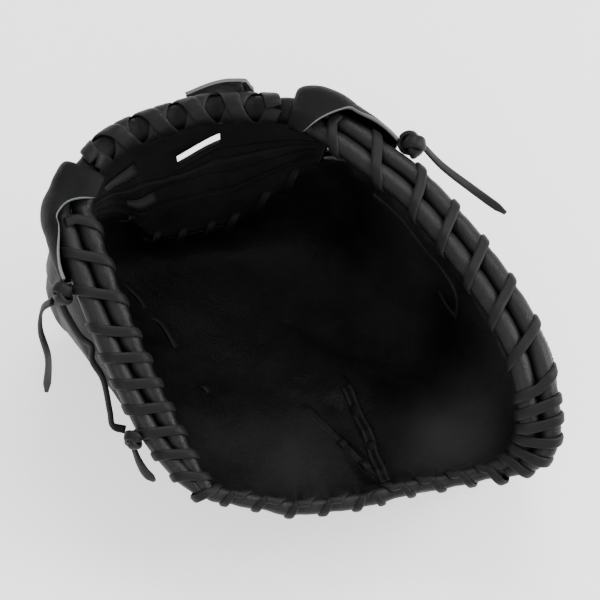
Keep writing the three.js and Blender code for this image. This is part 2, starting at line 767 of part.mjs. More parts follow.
const rimLace = rimLacePlaces();
const rimLaceRoom = bandRoom(rimLace, LACE_WIDTH, LACE_THICKNESS, GAP / 2);
const webLaceUnder = webLacePlaces(1, WEB_LACE_UNDER);
const webLaceOver = webLacePlaces(-1, WEB_LACE_OVER);
const seamLace = seamLacePlaces();
const seamLaceRoom = bandRoom(seamLace, SEAM_LACE_WIDTH, LACE_THICKNESS, SEAM_LACE_GAP);

const group = new THREE.Group();
function add(name, geometry, finish) {
  const mesh = new THREE.Mesh(geometry, new THREE.MeshStandardMaterial(finish));
  mesh.name = name;
  group.add(mesh);
}

add("palm", cut(palmGeometry(), rimLaceRoom, seamLaceRoom), PALM_LEATHER);
add(
  "finger_back",
  cut(shellGeometry(SPANS.fingerBack, FINGER_STALL_DEPTH), rimLaceRoom),
  BLACK_LEATHER,
);
add(
  "thumb_back",
  cut(shellGeometry(SPANS.thumbBack, THUMB_STALL_DEPTH), rimLaceRoom),
  BLACK_LEATHER,
);
add("web", cut(webGeometry(), webSlotRoom(WEB_SLOT), seamLaceRoom), BLACK_LEATHER);
add("rim_roll_palm", cut(rollGeometry(SPANS.palmRoll, innerRoll), rimLaceRoom), BLACK_LEATHER);
add("rim_roll_finger", rollGeometry(SPANS.fingerRoll, outerRoll), BLACK_LEATHER);
add("rim_roll_thumb", rollGeometry(SPANS.thumbRoll, outerRoll), BLACK_LEATHER);
add("web_roll", rollGeometry(SPANS.webRoll, webRoll), BLACK_LEATHER);
add("finger_hood", hoodGeometry(SPANS.fingerHood), BLACK_LEATHER);
add("thumb_hood", hoodGeometry(SPANS.thumbHood), BLACK_LEATHER);
add("rim_lace", bandGeometry(rimLace, LACE_WIDTH, LACE_THICKNESS), RAWHIDE);
add("web_lace_under", bandGeometry(webLaceUnder, WEB_LACE_WIDTH, LACE_THICKNESS), RAWHIDE);
add("web_lace_over", bandGeometry(webLaceOver, WEB_LACE_WIDTH, LACE_THICKNESS), RAWHIDE);
add("seam_lace", bandGeometry(seamLace, SEAM_LACE_WIDTH, LACE_THICKNESS), RAWHIDE);
add(
  "wrist_strap",
  cut(
    bandGeometry(strapPlaces(), STRAP_WIDTH, STRAP_THICKNESS),
    shellRoom(SPANS.fingerBack, FINGER_STALL_DEPTH),
    shellRoom(SPANS.thumbBack, THUMB_STALL_DEPTH),
  ),
  BLACK_LEATHER,
);
add("web_tab", tabGeometry(), BLACK_LEATHER);
for (const [side, knot] of Object.entries(KNOTS)) {
  add("knot_" + side, knotAt(knot), RAWHIDE);
  add("lace_tail_" + side, tailGeometry(TAILS[side]), RAWHIDE);
}

// Origin under the middle of the mitt, on the surface that it lies on
const body = new THREE.Box3();
for (const mesh of group.children.filter((child) => !child.name.startsWith("lace_tail"))) {
  body.expandByObject(mesh);
}
const middle = body.getCenter(new THREE.Vector3());
for (const mesh of group.children) {
  mesh.position.set(-middle.x, -middle.y, -body.min.z);
}

export default group;
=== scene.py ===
# A first baseman mitt for the left hand, lying on its back with the pocket up.
# The shapes are worked out in millimetres from the rim's own origin and placed in the CAD's frame.
import json
import math
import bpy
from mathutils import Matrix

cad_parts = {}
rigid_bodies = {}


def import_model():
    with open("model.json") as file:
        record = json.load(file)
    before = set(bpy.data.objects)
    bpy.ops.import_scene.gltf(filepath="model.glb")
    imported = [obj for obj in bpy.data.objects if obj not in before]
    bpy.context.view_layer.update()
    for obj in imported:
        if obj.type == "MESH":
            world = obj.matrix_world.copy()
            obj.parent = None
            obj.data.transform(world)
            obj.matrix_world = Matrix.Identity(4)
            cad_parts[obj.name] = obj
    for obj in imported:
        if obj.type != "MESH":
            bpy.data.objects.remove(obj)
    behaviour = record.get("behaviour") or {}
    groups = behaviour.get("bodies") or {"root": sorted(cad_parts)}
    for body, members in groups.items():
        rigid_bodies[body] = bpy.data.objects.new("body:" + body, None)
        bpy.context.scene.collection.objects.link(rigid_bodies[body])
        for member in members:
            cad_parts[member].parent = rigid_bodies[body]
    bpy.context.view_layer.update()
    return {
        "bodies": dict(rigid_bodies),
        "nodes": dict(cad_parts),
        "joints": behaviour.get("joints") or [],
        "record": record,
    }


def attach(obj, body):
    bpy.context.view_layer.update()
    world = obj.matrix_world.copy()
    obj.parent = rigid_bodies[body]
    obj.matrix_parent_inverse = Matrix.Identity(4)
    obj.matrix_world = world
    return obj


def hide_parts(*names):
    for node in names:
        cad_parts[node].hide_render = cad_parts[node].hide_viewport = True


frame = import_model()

from types import SimpleNamespace

import bmesh
import bpy
import numpy as np
from mathutils import Vector, noise

MM = 0.001

# Where the rim's own origin lies in the frame, in millimetres
ORIGIN = np.array([1.23, 16.33, 0.0])

# Size of the rim, measured along the slit between its two rolls
RIM_WIDTH = 261
RIM_LENGTH = 214
RIM_HEIGHT = 142

# Rolls, walls and lacing
ROLL_RADIUS = 5.8
THINNEST_ROLL = 0.6
SLIT = 0.4
WEB_ROLL_RADIUS = 7.2
PALM_WALL = 5
SHELL_WALL = 3
WEB_WALL = 4
HOOD_WALL = 2.2
LACE_WIDTH = 6.2
LACE_THICKNESS = 1.9
WEB_LACE_WIDTH = 9.2
SEAM_LACE_WIDTH = 5
WALL_DROP = 8.9

# Pocket and stalls
POCKET = np.array([-8.0, 12.0, 27.0])
BELLY = 9
WALL_STEEPNESS = 1.4
STALL_DEPTH = 40
WEB_DEPTH = 70
WEB_LEAN = 0.3

# Stations round the rim, counter-clockwise from the middle of the heel. The first three columns
# place the slit as shares of the rim's size. roll and stall are shares too, outer is 1 where there
# is an outer roll, steep shapes the pocket's wall, drop lowers the palm's edge down the web.
RIM_COLUMNS = ["across", "along", "rise", "roll", "outer", "steep", "stall", "drop"]
RIM_ROWS = np.array([
    [-0.011, -0.607, 0.408, 0.72, 0, 0.12, 0.1, 0],
    [0.123, -0.584, 0.401, 0.72, 0, 0.12, 0.1, 0],
    [0.23, -0.551, 0.415, 0.72, 0, 0.15, 0.1, 0],
    [0.335, -0.537, 0.451, 0.75, 0, 0.2, 0.3, 0],
    [0.432, -0.519, 0.514, 0.85, 0.5, 0.3, 0.6, 0],
    [0.485, -0.472, 0.606, 1, 1, 0.45, 0.72, 0],
    [0.487, -0.388, 0.711, 1, 1, 0.65, 0.85, 0],
    [0.455, -0.252, 0.824, 1, 1, 0.85, 0.95, 0],
    [0.368, -0.07, 0.908, 1, 1, 0.95, 1, 0],
    [0.249, 0.126, 0.958, 1, 1, 1, 1, 0],
    [0.169, 0.215, 0.979, 1, 1, 1, 1, 0],
    [0.092, 0.294, 0.993, 1, 1, 1, 0.8, 0.12],
    [0, 0.364, 1, 1, 1, 1, 0.25, 0.5],
    [-0.161, 0.393, 0.972, 1, 1, 1, 0.2, 1],
    [-0.264, 0.374, 0.951, 1, 1, 1, 0.2, 1],
    [-0.372, 0.322, 0.937, 1, 1, 1, 0.2, 0.9],
    [-0.437, 0.248, 0.93, 1, 1, 1, 0.3, 0.5],
    [-0.479, 0.117, 0.915, 1, 1, 1, 0.85, 0.1],
    [-0.464, 0.037, 0.901, 1, 1, 0.95, 0.85, 0],
    [-0.421, -0.107, 0.831, 1, 1, 0.85, 0.65, 0],
    [-0.356, -0.28, 0.704, 1, 1, 0.7, 0.5, 0],
    [-0.291, -0.416, 0.563, 0.95, 1, 0.5, 0.62, 0],
    [-0.211, -0.561, 0.465, 0.8, 0.4, 0.25, 0.5, 0],
    [-0.149, -0.584, 0.437, 0.72, 0, 0.15, 0.1, 0],
    [-0.073, -0.598, 0.423, 0.72, 0, 0.12, 0.1, 0],
])

# Where each piece starts and ends, in stations of the rim
SPANS = {
    "palm_roll": (-8.65, 12.1),
    "finger_roll": (3.9, 12.1),
    "thumb_roll": (16.35, 22.05),
    "web_roll": (11.9, 16.5),
    "finger_back": (5, 12.3),
    "thumb_back": (16.1, 21.6),
    "web": (11.3, 16.8),
    "finger_hood": (12.1, 10.05),
    "thumb_hood": (16.35, 18.75),
    "web_lacing": (12.32, 16.13),
    "web_tab": (12.65, 13.7),
}

# Turns of the rim's lacing, up each side from the heel, in stations
RIM_LACE_RUNS = {
    "finger": [(1.2, 4.2, 5), (4.2, 6.2, 5), (6.2, 9, 5), (9, 11.3, 2)],
    "thumb": [(1.2, -1.8, 4), (-1.8, -5.4, 8), (-5.4, -7.2, 3)],
}
WEB_LACE_TURNS = 5
SEAM_LACE_TURNS = 7

# Free ends of the laces: places in millimetres from the knot to the tip
TAILS = {
    "right": [[68.7, 56.9, 138.1], [80, 54, 123.5], [97, 52, 105], [117, 49, 85]],
    "left": [[-134.2, -28.7, 114.1], [-141, -27, 103], [-144, -27, 81], [-142.5, -27, 50],
             [-147, -27, 13]],
    "lower": [[-90, -98.2, 77.3], [-88, -99, 63], [-85, -99, 49], [-81, -99, 39.4]],
}
TAIL_WIDTH = 5
TAIL_THICKNESS = 2

# Camera: elevation in degrees, and distance, width and middle of its view in metres
ELEVATION = 58
CAMERA_DISTANCE = 1.3
VIEW_WIDTH = 0.336
LOOK_AT = Vector((0.0012, 0.0098, 0.08))


# Helpers for arrays of points

def unit(vectors):
    return vectors / np.linalg.norm(vectors, axis=-1, keepdims=True)


def smooth(t):
    t = np.clip(t, 0, 1)
    return t * t * (3 - 2 * t)


def peak(away, reach):
    """1 where away is 0, falling to 0 at the reach"""
    return smooth(1 - np.abs(away) / reach)


def mix(a, b, t):
    return a + (b - a) * t


def rough(points, scale, seed=0.0):
    """Smooth noise from -1 to 1 at each point, in lumps of about scale millimetres"""
    flat = points.reshape(-1, 3) / scale + seed
    return np.array([noise.noise(Vector(p)) for p in flat]).reshape(points.shape[:-1])


def running_length(points):
    """Length along a path at each of its points"""
    return np.concatenate([[0], np.cumsum(np.linalg.norm(np.diff(points, axis=0), axis=1))])


def read_at(wanted, lengths, values):
    """Rows of values read off at the wanted lengths along a path"""
    return np.stack([np.interp(wanted, lengths, column) for column in values.T], -1)


# The rim

def rim_value(column, station):
    """Value of one column of the rim's table, on a smooth closed curve"""
    values = RIM_ROWS[:, RIM_COLUMNS.index(column)]
    station = np.asarray(station, float)
    i = np.floor(station).astype(int)
    t = station - i
    a, b, c, d = (values[(i + k) % len(values)] for k in (-1, 0, 1, 2))
    slope_in = (c - a) / 2
    slope_out = (d - b) / 2
    bend = 3 * (c - b) - 2 * slope_in - slope_out
    twist = 2 * (b - c) + slope_in + slope_out
    return b + t * (slope_in + t * (bend + t * twist))


def rim_share(column, station):
    return np.clip(rim_value(column, station), 0, 1)


def rim_points(station):
    shares = [rim_value(name, station) for name in ("across", "along", "rise")]
    return np.stack(shares, -1) * np.array([RIM_WIDTH, RIM_LENGTH, RIM_HEIGHT])


def rim_frames(station):
    """Places on the rim, with directions along it, out of the mitt and up"""
    station = np.asarray(station, float)
    reach = 0.05
    ahead = unit(rim_points(station + reach) - rim_points(station - reach))
    out = unit(np.stack([ahead[..., 1], -ahead[..., 0], np.zeros_like(station)], -1))
    up = unit(np.cross(out, ahead))
    return SimpleNamespace(station=station, centre=rim_points(station), ahead=ahead, out=out, up=up)


def offset(frames, outward, upward):
    """Places beside the rim, so many millimetres out and up"""
    outward, upward = (np.asarray(reach, float)[..., None] for reach in (outward, upward))
    return frames.centre + frames.out * outward + frames.up * upward


def spread(frames):
    """Frames with one more axis, for grids of points"""
    return SimpleNamespace(**{key: value[:, None] for key, value in vars(frames).items()})


def section_direction(frames, angle):
    """Direction in a section of the rim: 0 degrees points out and 90 points up"""
    turn = np.radians(angle)[..., None]
    return frames.out * np.cos(turn) + frames.up * np.sin(turn)


FINE_STATIONS = np.linspace(-10, 30, 2401)
FINE_LENGTHS = running_length(rim_points(FINE_STATIONS))


def length_at(station):
    return np.interp(station, FINE_STATIONS, FINE_LENGTHS)


def station_at(length):
    return np.interp(length, FINE_LENGTHS, FINE_STATIONS)


def even_stations(start, end, count):
    """Stations that divide a stretch of the rim into equal lengths"""
    return station_at(np.linspace(length_at(start), length_at(end), count + 1))


def frames_between(start, end, count):
    return rim_frames(even_stations(start, end, count))


def frames_by_step(start, end, step):
    return frames_between(start, end, round(abs(length_at(end) - length_at(start)) / step))


def rolls_at(station):
    """Radius of the two rolls and where their centres lie outward from the slit"""
    radius = ROLL_RADIUS * np.clip(rim_value("roll", station), THINNEST_ROLL, 1)
    outer = rim_share("outer", station)
    inner = -(radius + SLIT / 2)
    return radius, inner, mix(inner, radius + SLIT / 2, outer)


def lace_marks(runs):
    """Stations where one side of the rim's lacing crosses the slit"""
    marks = [even_stations(start, end, turns) for start, end, turns in runs]
    return np.concatenate([marks[0][:1]] + [run[1:] for run in marks])


SIDE_MARKS = {side: lace_marks(runs) for side, runs in RIM_LACE_RUNS.items()}
LACE_MARKS = np.concatenate([SIDE_MARKS["finger"], SIDE_MARKS["thumb"][1:]])


def nearness(station, marks, reach, aside=0.0):
    """1 at a mark, falling to 0 about two reaches away along the rim"""
    away = length_at(station)[..., None] - (length_at(marks) + aside)
    return np.exp(-((away / reach) ** 2)).max(-1)


# Building meshes

# Points nearer than this, in metres, are one
SAME_PLACE = 1e-6

# Section of a flat lace: how square its sides and faces are, and the wear of its edges
SIDE_SQUARENESS = 0.45
FACE_SQUARENESS = 0.7
WORN_FROM = 0.7
EDGE_WEAR = 0.5

# One stitch from end to end: places along it, and shares of the thread's thickness and height
STITCH_SHARE = 0.36
STITCH_PLACES = np.array([-1, -0.85, -0.4, 0.4, 0.85, 1])
STITCH_SIZES = np.array([0.15, 0.7, 1, 1, 0.7, 0.15])
STITCH_HEIGHTS = np.array([-0.9, -0.2, 0, 0, -0.2, -0.9])


class Shape:
    """Points and faces of one mesh, with each point's wear and painted light and each face's finish"""

    def __init__(self):
        self.points, self.wear, self.faces, self.finishes = [], [], [], []
        self.finish = 0

    def add(self, points, wear=0.0):
        points = np.asarray(points, float)
        start = sum(len(block) for block in self.points)
        self.points.append(points.reshape(-1, 3))
        self.wear.append(np.broadcast_to(wear, points.shape[:-1]).reshape(-1))
        return np.arange(start, start + points[..., 0].size).reshape(points.shape[:-1])

    def face(self, corners):
        self.faces.append([int(k) for k in corners])
        self.finishes.append(self.finish)

    def join(self, a, b, closed=False):
        """Quads between two rows of points"""
        for k in range(len(a) if closed else len(a) - 1):
            n = (k + 1) % len(a)
            self.face((a[k], a[n], b[n], b[k]))

    def grid(self, points, wear=0.0, loop=False, closed=False):
        index = self.add(points, wear)
        rows = list(index) + ([index[0]] if loop else [])
        for a, b in zip(rows, rows[1:]):
            self.join(a, b, closed)
        return index

    def tube(self, rings, wear=0.0):
        """Closed tube through rings of points"""
        index = self.grid(rings, wear, closed=True)
        self.face(index[0])
        self.face(index[-1][::-1])

    def wall(self, front, back, front_wear=0.0, loop=False, edge=0):
        """Wall between two grids of equal width, closed at its edges"""
        f = self.grid(front, front_wear, loop)
        b = self.grid(back, 0.0, loop)
        self.finish = edge
        self.join(f[:, 0], b[:, 0], loop)
        self.join(f[:, -1], b[:, -1], loop)
        if not loop:
            self.join(f[0], b[0])
            self.join(f[-1], b[-1])
        self.finish = 0

    def keep_above_ground(self):
        for block in self.points:
            block[:, 2] = np.maximum(block[:, 2], 0)


def new_object(name, data):
    item = bpy.data.objects.new(name, data)
    bpy.context.collection.objects.link(item)
    return item


def build(shape, name, finishes, replaces=()):
    """Object from a shape, on the mitt's body, hiding the CAD parts that it replaces"""
    mesh = bpy.data.meshes.new(name)
    points = (np.concatenate(shape.points) + ORIGIN) * MM
    mesh.from_pydata(points.tolist(), [], shape.faces)
    wear = mesh.attributes.new("wear", "FLOAT", "POINT")
    wear.data.foreach_set("value", np.concatenate(shape.wear).astype(np.float32))
    mesh.polygons.foreach_set("material_index", shape.finishes)
    work = bmesh.new()
    work.from_mesh(mesh)
    bmesh.ops.remove_doubles(work, verts=work.verts, dist=SAME_PLACE)
    bmesh.ops.recalc_face_normals(work, faces=work.faces)
    work.to_mesh(mesh)
    work.free()
    mesh.shade_smooth()
    for finish in finishes:
        mesh.materials.append(finish)
    piece = new_object(name, mesh)
    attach(piece, "root")
    if replaces:
        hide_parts(*replaces)
    return piece


def flat_section(count=14):
    """Section of a flat lace, two units wide and two thick"""
    turn = np.linspace(0, 2 * np.pi, count, endpoint=False)
    sides = (np.cos(turn), SIDE_SQUARENESS), (np.sin(turn), FACE_SQUARENESS)
    return [np.sign(value) * np.abs(value) ** power for value, power in sides]


def beside(path, faces):
    """Directions square to a path: nearest to its faces, and to their side"""
    along = unit(np.gradient(path, axis=0))
    normal = unit(faces - along * (faces * along).sum(-1, keepdims=True))
    return normal, np.cross(along, normal)


def band(shape, places, faces, width, thickness, cup=0.0):
    """Flat lace along places; its broad side looks to the faces"""
    normal, side = beside(places, faces)
    across, thick = flat_section()
    width = np.broadcast_to(width, len(places))[:, None, None]
    thick = thick * thickness / 2 - cup * across**2
    rings = places[:, None] + side[:, None] * across[:, None] * width / 2
    rings = rings + normal[:, None] * thick[:, None]
    edge = EDGE_WEAR * smooth((np.abs(across) - WORN_FROM) / 0.3)
    shape.tube(rings, np.broadcast_to(edge, rings.shape[:-1]))


def build_lace(name, finish, replaces, *lace, cup):
    shape = Shape()
    band(shape, *lace, cup)
    return build(shape, name, [finish], replaces)


def cord_tube(shape, path, normals, radius, sides=10, wear=0.0):
    normal, side = beside(path, normals)
    turn = np.linspace(0, 2 * np.pi, sides, endpoint=False)
    radius = np.broadcast_to(radius, len(path))[:, None, None]
    ring = side[:, None] * np.cos(turn)[:, None] + normal[:, None] * np.sin(turn)[:, None]
    shape.tube(path[:, None] + ring * radius, wear)


def resample(points, step):
    """Points an equal step apart on a smooth curve through a few"""
    points = np.asarray(points, float)
    padded = np.vstack([2 * points[0] - points[1], points, 2 * points[-1] - points[-2]])
    t = np.linspace(0, 1, 24, endpoint=False)[:, None]
    fine = []
    for a, b, c, d in zip(padded, padded[1:], padded[2:], padded[3:]):
        fine.append(0.5 * (2 * b + (c - a) * t + (2 * a - 5 * b + 4 * c - d) * t**2
                           + (3 * b - a - 3 * c + d) * t**3))
    fine = np.vstack(fine + [points[-1:]])
    lengths = running_length(fine)
    wanted = np.linspace(0, lengths[-1], max(2, round(lengths[-1] / step)) + 1)
    return read_at(wanted, lengths, fine)


def stitches(shape, path, normals, pitch=3.2, thread=0.42, lift=0.1):
    """Row of short thread stitches laid on a surface along a path"""
    lengths = running_length(path)
    for k in range(int(lengths[-1] // pitch)):
        at = pitch * (k + 0.5) + STITCH_PLACES * pitch * STITCH_SHARE
        facing = unit(read_at(at, lengths, normals))
        spots = read_at(at, lengths, path) + facing * (lift + thread * STITCH_HEIGHTS)[:, None]
        cord_tube(shape, spots, facing, thread * STITCH_SIZES, sides=6)


# Materials

# Textures of the leather, in lumps per metre
PEBBLES = 1000
PORES = 2600
FOLDS = 95
CLOUDS = 26

# Its two bumps: strength, and depth in metres
GRAIN_BUMP = (0.34, 0.00022)
CREASE_BUMP = (0.4, 0.0011)


def new_material(name):
    material = bpy.data.materials.new(name)
    material.use_nodes = True
    return material, material.node_tree.nodes["Principled BSDF"]


def fill(node, values):
    for key, value in values.items():
        node.inputs[key].default_value = value


def leather(name, colour, worn_and_painted_light_colour, roughness, gloss, grain, crease, grain_size=1.3):
    """Black leather with pebbled grain, creases, uneven shade, and wear and painted light read from
    its mesh
    """
    material, shader = new_material(name)
    link = material.node_tree.links.new

    def new(kind):
        return material.node_tree.nodes.new("ShaderNode" + kind)

    place = new("TexCoord").outputs["Object"]

    def texture(kind, scale, **values):
        node = new(kind)
        link(place, node.inputs["Vector"])
        fill(node, {"Scale": scale, **values})
        return node

    def math_node(operation, a, b):
        node = new("Math")
        node.operation = operation
        for socket, value in zip(node.inputs, (a, b)):
            if isinstance(value, (int, float)):
                socket.default_value = value
            else:
                link(value, socket)
        return node.outputs[0]

    def ranged(value, low, high, start=0.0, end=1.0):
        node = new("MapRange")
        link(value, node.inputs["Value"])
        fill(node, {"From Min": start, "From Max": end, "To Min": low, "To Max": high})
        return node.outputs[0]

    def bump(height, strength, depth):
        node = new("Bump")
        fill(node, {"Strength": strength, "Distance": depth})
        link(height, node.inputs["Height"])
        return node

    pebbles = texture("TexVoronoi", PEBBLES / grain_size, Randomness=1.0)
    pebbles.feature = "DISTANCE_TO_EDGE"
    cells = ranged(pebbles.outputs["Distance"], 0, 1, 0.0, 0.16)
    pores = texture("TexNoise", PORES / grain_size, Detail=2.0).outputs[0]
    folds = texture("TexNoise", FOLDS, Detail=7.0, Roughness=0.62, Distortion=0.6).outputs[0]
    clouds = texture("TexNoise", CLOUDS, Detail=4.0, Roughness=0.55).outputs[0]
    height = math_node("ADD", math_node("MULTIPLY", cells, 0.55), math_node("MULTIPLY", pores, 0.35))
    fine = bump(height, GRAIN_BUMP[0] * grain, GRAIN_BUMP[1])
    broad = bump(folds, CREASE_BUMP[0] * crease, CREASE_BUMP[1])
    link(fine.outputs["Normal"], broad.inputs["Normal"])
    link(broad.outputs["Normal"], shader.inputs["Normal"])

    # The mesh's wear attribute mixes in the lighter colour, both for wear and for painted light
    wear = new("Attribute")
    wear.attribute_name = "wear"
    shade = new("MixRGB")
    fill(shade, {"Color1": (*colour, 1), "Color2": (*worn_and_painted_light_colour, 1)})
    amount = math_node("ADD", ranged(clouds, 0.0, 0.2, 0.42, 0.72), wear.outputs["Fac"])
    scuffs = ranged(folds, 0.0, 0.12, 0.5, 0.75)
    link(math_node("ADD", amount, scuffs), shade.inputs["Fac"])
    link(shade.outputs["Color"], shader.inputs["Base Color"])
    dull = math_node("ADD", ranged(clouds, roughness - 0.07, roughness + 0.09, 0.3, 0.7),
                     math_node("MULTIPLY", cells, -0.05))
    link(dull, shader.inputs["Roughness"])
    fill(shader, {"Specular IOR Level": gloss})
    return material


# Fresh colour, colour for wear and painted light, roughness, gloss, grain and crease of each leather
# and the thread
SHELL = leather("shell_leather", (0.005, 0.0051, 0.0055), (0.016, 0.0163, 0.0175), 0.4, 0.22, 1.3, 1.5)
BACK = leather("back_leather", (0.005, 0.0051, 0.0055), (0.013, 0.0133, 0.0145), 0.55, 0.14, 1.2, 1.2)
# Darker than the shell leather: painted shade in the pocket; its lighter worn colour gives the painted
# light on the heel pad
PALM_PAINTED_SHADE = leather("palm_leather", (0.0018, 0.0018, 0.002), (0.021, 0.021, 0.0215), 0.5, 0.08, 2.2, 0.6, 2)
LACE = leather("rawhide_lace", (0.008, 0.008, 0.0084), (0.023, 0.023, 0.0238), 0.5, 0.14, 0.8, 0.8)
# Darker copy of the lace leather: painted shade for the laces in the pocket, at the web's seam and
# outside the thumb
PAINTED_SHADE_LACE = leather("lace_painted_shade", (0.003, 0.003, 0.0032), (0.011, 0.011, 0.0115), 0.55, 0.1, 0.8, 0.8)
RAW = leather("raw_edge", (0.1, 0.105, 0.11), (0.3, 0.31, 0.32), 0.8, 0.2, 0.8, 0.6)
# Darker than the shell leather: painted shade on the web; its lighter worn colour gives the web's
# painted highlights
WEB_PAINTED_SHADE = leather("web_leather_painted_shade", (0.0028, 0.0028, 0.003), (0.022, 0.0224, 0.0235), 0.55, 0.1, 1.2, 1.2)
# Darker copy of the shell leather: painted shade on the hoods and the web's roll
HOOD_PAINTED_SHADE = leather("hood_leather_painted_shade", (0.004, 0.0041, 0.0044), (0.012, 0.0123, 0.013), 0.55, 0.1, 1.5, 1.8)
THREAD = leather("black_thread", (0.003, 0.003, 0.0033), (0.009, 0.009, 0.0095), 0.6, 0.12, 0.3, 0.2)


# Camera

def make_camera():
    data = bpy.data.cameras.new("camera")
    data.angle = 2 * math.atan(VIEW_WIDTH / 2 / CAMERA_DISTANCE)
    camera = new_object("camera", data)
    tilt = math.radians(ELEVATION)
    back = Vector((0, -math.cos(tilt), math.sin(tilt)))
    camera.location = LOOK_AT + back * CAMERA_DISTANCE
    camera.rotation_euler = (math.radians(90) - tilt, 0, 0)
    bpy.context.scene.camera = camera


make_camera()


# Free ends of the laces

def make_tails():
    """Flat ends that turn a quarter about themselves and narrow at the tip"""
    step = 2.2
    side_share = 0.4
    taper = 0.45
    taper_length = 0.1
    for name, points in TAILS.items():
        path = resample(points, step)
        ahead = unit(np.gradient(path, axis=0))
        facing = unit(np.cross(ahead, (0.0, 1.0, 0.0)))
        curl = np.linspace(0, 0.5 * np.pi, len(path))[:, None]
        facing = facing * np.cos(curl) + np.cross(ahead, facing) * np.sin(curl) * side_share
        share = np.linspace(0, 1, len(path))
        width = TAIL_WIDTH * (1 - taper * smooth((share - 0.9) / taper_length))
        piece = build_lace(f"lace_end_{name}", LACE, [f"lace_tail_{name}"],
                           path, facing, width, TAIL_THICKNESS, cup=0.2)


make_tails()


# Palm

# Its edge against the inner roll, in and down, as shares of the roll's radius
EDGE_IN = 0.62
EDGE_DOWN = 0.72

# Its grid: columns round the rim, rows to the middle, how they crowd outward, step of the back's rows
PALM_COLUMNS = 440
PALM_ROWS = 96
PALM_CROWDING = 1.12
PALM_BACK_STEP = 6

# Its pads by height, place in plan and radius, and the crease and seams of the heel
PALM_PADS = [(6, (86, -60), 48), (4, (-52, -58), 44)]
HEEL_CREASE = [(46, -112), (24, -52)]
HEEL_CREASE_DEPTH = 3.2
HEEL_CREASE_WIDTH = 13
HEEL_SEAMS = [[(4, -52), (29, -82), (46, -106)], [(25, -31), (37, -69), (44, -97), (47, -108)]]
HEEL_SEAM_HEIGHT = 0.9
HEEL_SEAM_WIDTH = 3

# Its leather at the lacing: swells between the holes, a pinch at each hole and pleats from them
SWELL_HEIGHT = 1.3
PINCH_DEPTH = 2.0
PLEAT_DEPTH = 0.8
PLEAT_LENGTH = 26
VEIN_DEPTH = 0.12
EDGE_FADE = 3

# Painted light on the heel pad and the palm: share, place in plan and radius
PALM_PAINTED_LIGHT = [
    (0.75, (88, -90), 44), (0.55, (114, -50), 46), (0.55, (84, -66), 36), (0.4, (-4, -88), 44),
    (0.42, (66, 22), 44),
]
SWELL_WEAR = 0.25


def palm_edge(frames):
    """Edge of the palm: against the inner roll, and lower where the web fills the gap"""
    radius, inner, _ = rolls_at(frames.station)
    share = rim_share("drop", frames.station)
    drop = WEB_DEPTH * share
    hung = smooth(share / 0.15)
    inward = mix(inner - EDGE_IN * radius, inner - WEB_LEAN * drop, hung)
    edge = offset(frames, inward, mix(-EDGE_DOWN * radius, -WALL_DROP, hung))
    edge[..., 2] -= drop
    return edge


def palm_surface(frames, depth):
    """Plain surface of the pocket: depth runs from 0 at the edge to 1 in the middle"""
    edge = palm_edge(frames)[:, None]
    steep = rim_share("steep", frames.station)[:, None]
    inward = (depth ** (1 + WALL_STEEPNESS * steep))[..., None]
    down = 1 - (1 - depth) ** (1 + WALL_STEEPNESS * steep)
    points = mix(edge, POCKET, inward)
    points[..., 2] = mix(edge[..., 2], POCKET[2], down)
    belly = BELLY * steep * (edge[..., 2] - POCKET[2]) / (RIM_HEIGHT - POCKET[2])
    return points + frames.out[:, None] * (belly * np.sin(np.pi * depth) * (1 - depth))[..., None]


def blurred(grid, amount):
    """Grid smoothed round its columns, row by row"""
    count = len(grid)
    wave = np.fft.rfft(grid, axis=0)
    turns = 2 * np.pi * np.arange(len(wave)) / count
    fade = np.exp(-0.5 * (turns[:, None] * amount[None, :]) ** 2)
    return np.fft.irfft(wave * fade[..., None], n=count, axis=0)


def grid_normals(grid):
    """Directions across a grid of points that closes on itself"""
    ring = np.vstack([grid[-1:], grid, grid[:1]])
    around = ring[2:] - ring[:-2]
    down = np.gradient(grid, axis=1)
    down[:, -1] = grid[:, -1] - grid[:, -3]
    normal = np.cross(around, down)
    return normal / np.maximum(np.linalg.norm(normal, axis=-1, keepdims=True), 1e-9)


def ridge(points, start, end, width):
    """1 on a line drawn in plan between two points and 0 further off than its width"""
    start, end = np.array([start, end], float)
    run = end - start
    share = np.clip(((points[..., :2] - start) @ run) / (run @ run), 0, 1)
    away = np.linalg.norm(points[..., :2] - (start + share[..., None] * run), axis=-1)
    return peak(away, width)


def mound(points, centre, radius):
    """1 at a point in plan and 0 beyond its radius"""
    away = np.linalg.norm(points[..., :2] - centre, axis=-1)
    return peak(away, radius)


def palm_relief(points):
    """Height of the pads, crease and seams above the plain pocket"""
    height = sum(rise * mound(points, *place) for rise, *place in PALM_PADS)
    height -= HEEL_CREASE_DEPTH * ridge(points, *HEEL_CREASE, HEEL_CREASE_WIDTH)
    for seam in HEEL_SEAMS:
        for a, b in zip(seam, seam[1:]):
            height += HEEL_SEAM_HEIGHT * ridge(points, a, b, HEEL_SEAM_WIDTH)
    return height


def smoothed_palm(frames, depth):
    """Pocket smoothed round the rim, more so toward its middle"""
    return blurred(palm_surface(frames, depth), 3 + 26 * smooth((depth - 0.3) / 0.6))


def padded(surface, depth, upward):
    """Adds pads and seams to the pocket, and gives its normals on one side"""
    surface[..., 2] += palm_relief(surface) * smooth(depth / 0.15)
    normal = grid_normals(surface)
    return normal if (normal[0, len(depth) // 2, 2] > 0) == upward else -normal


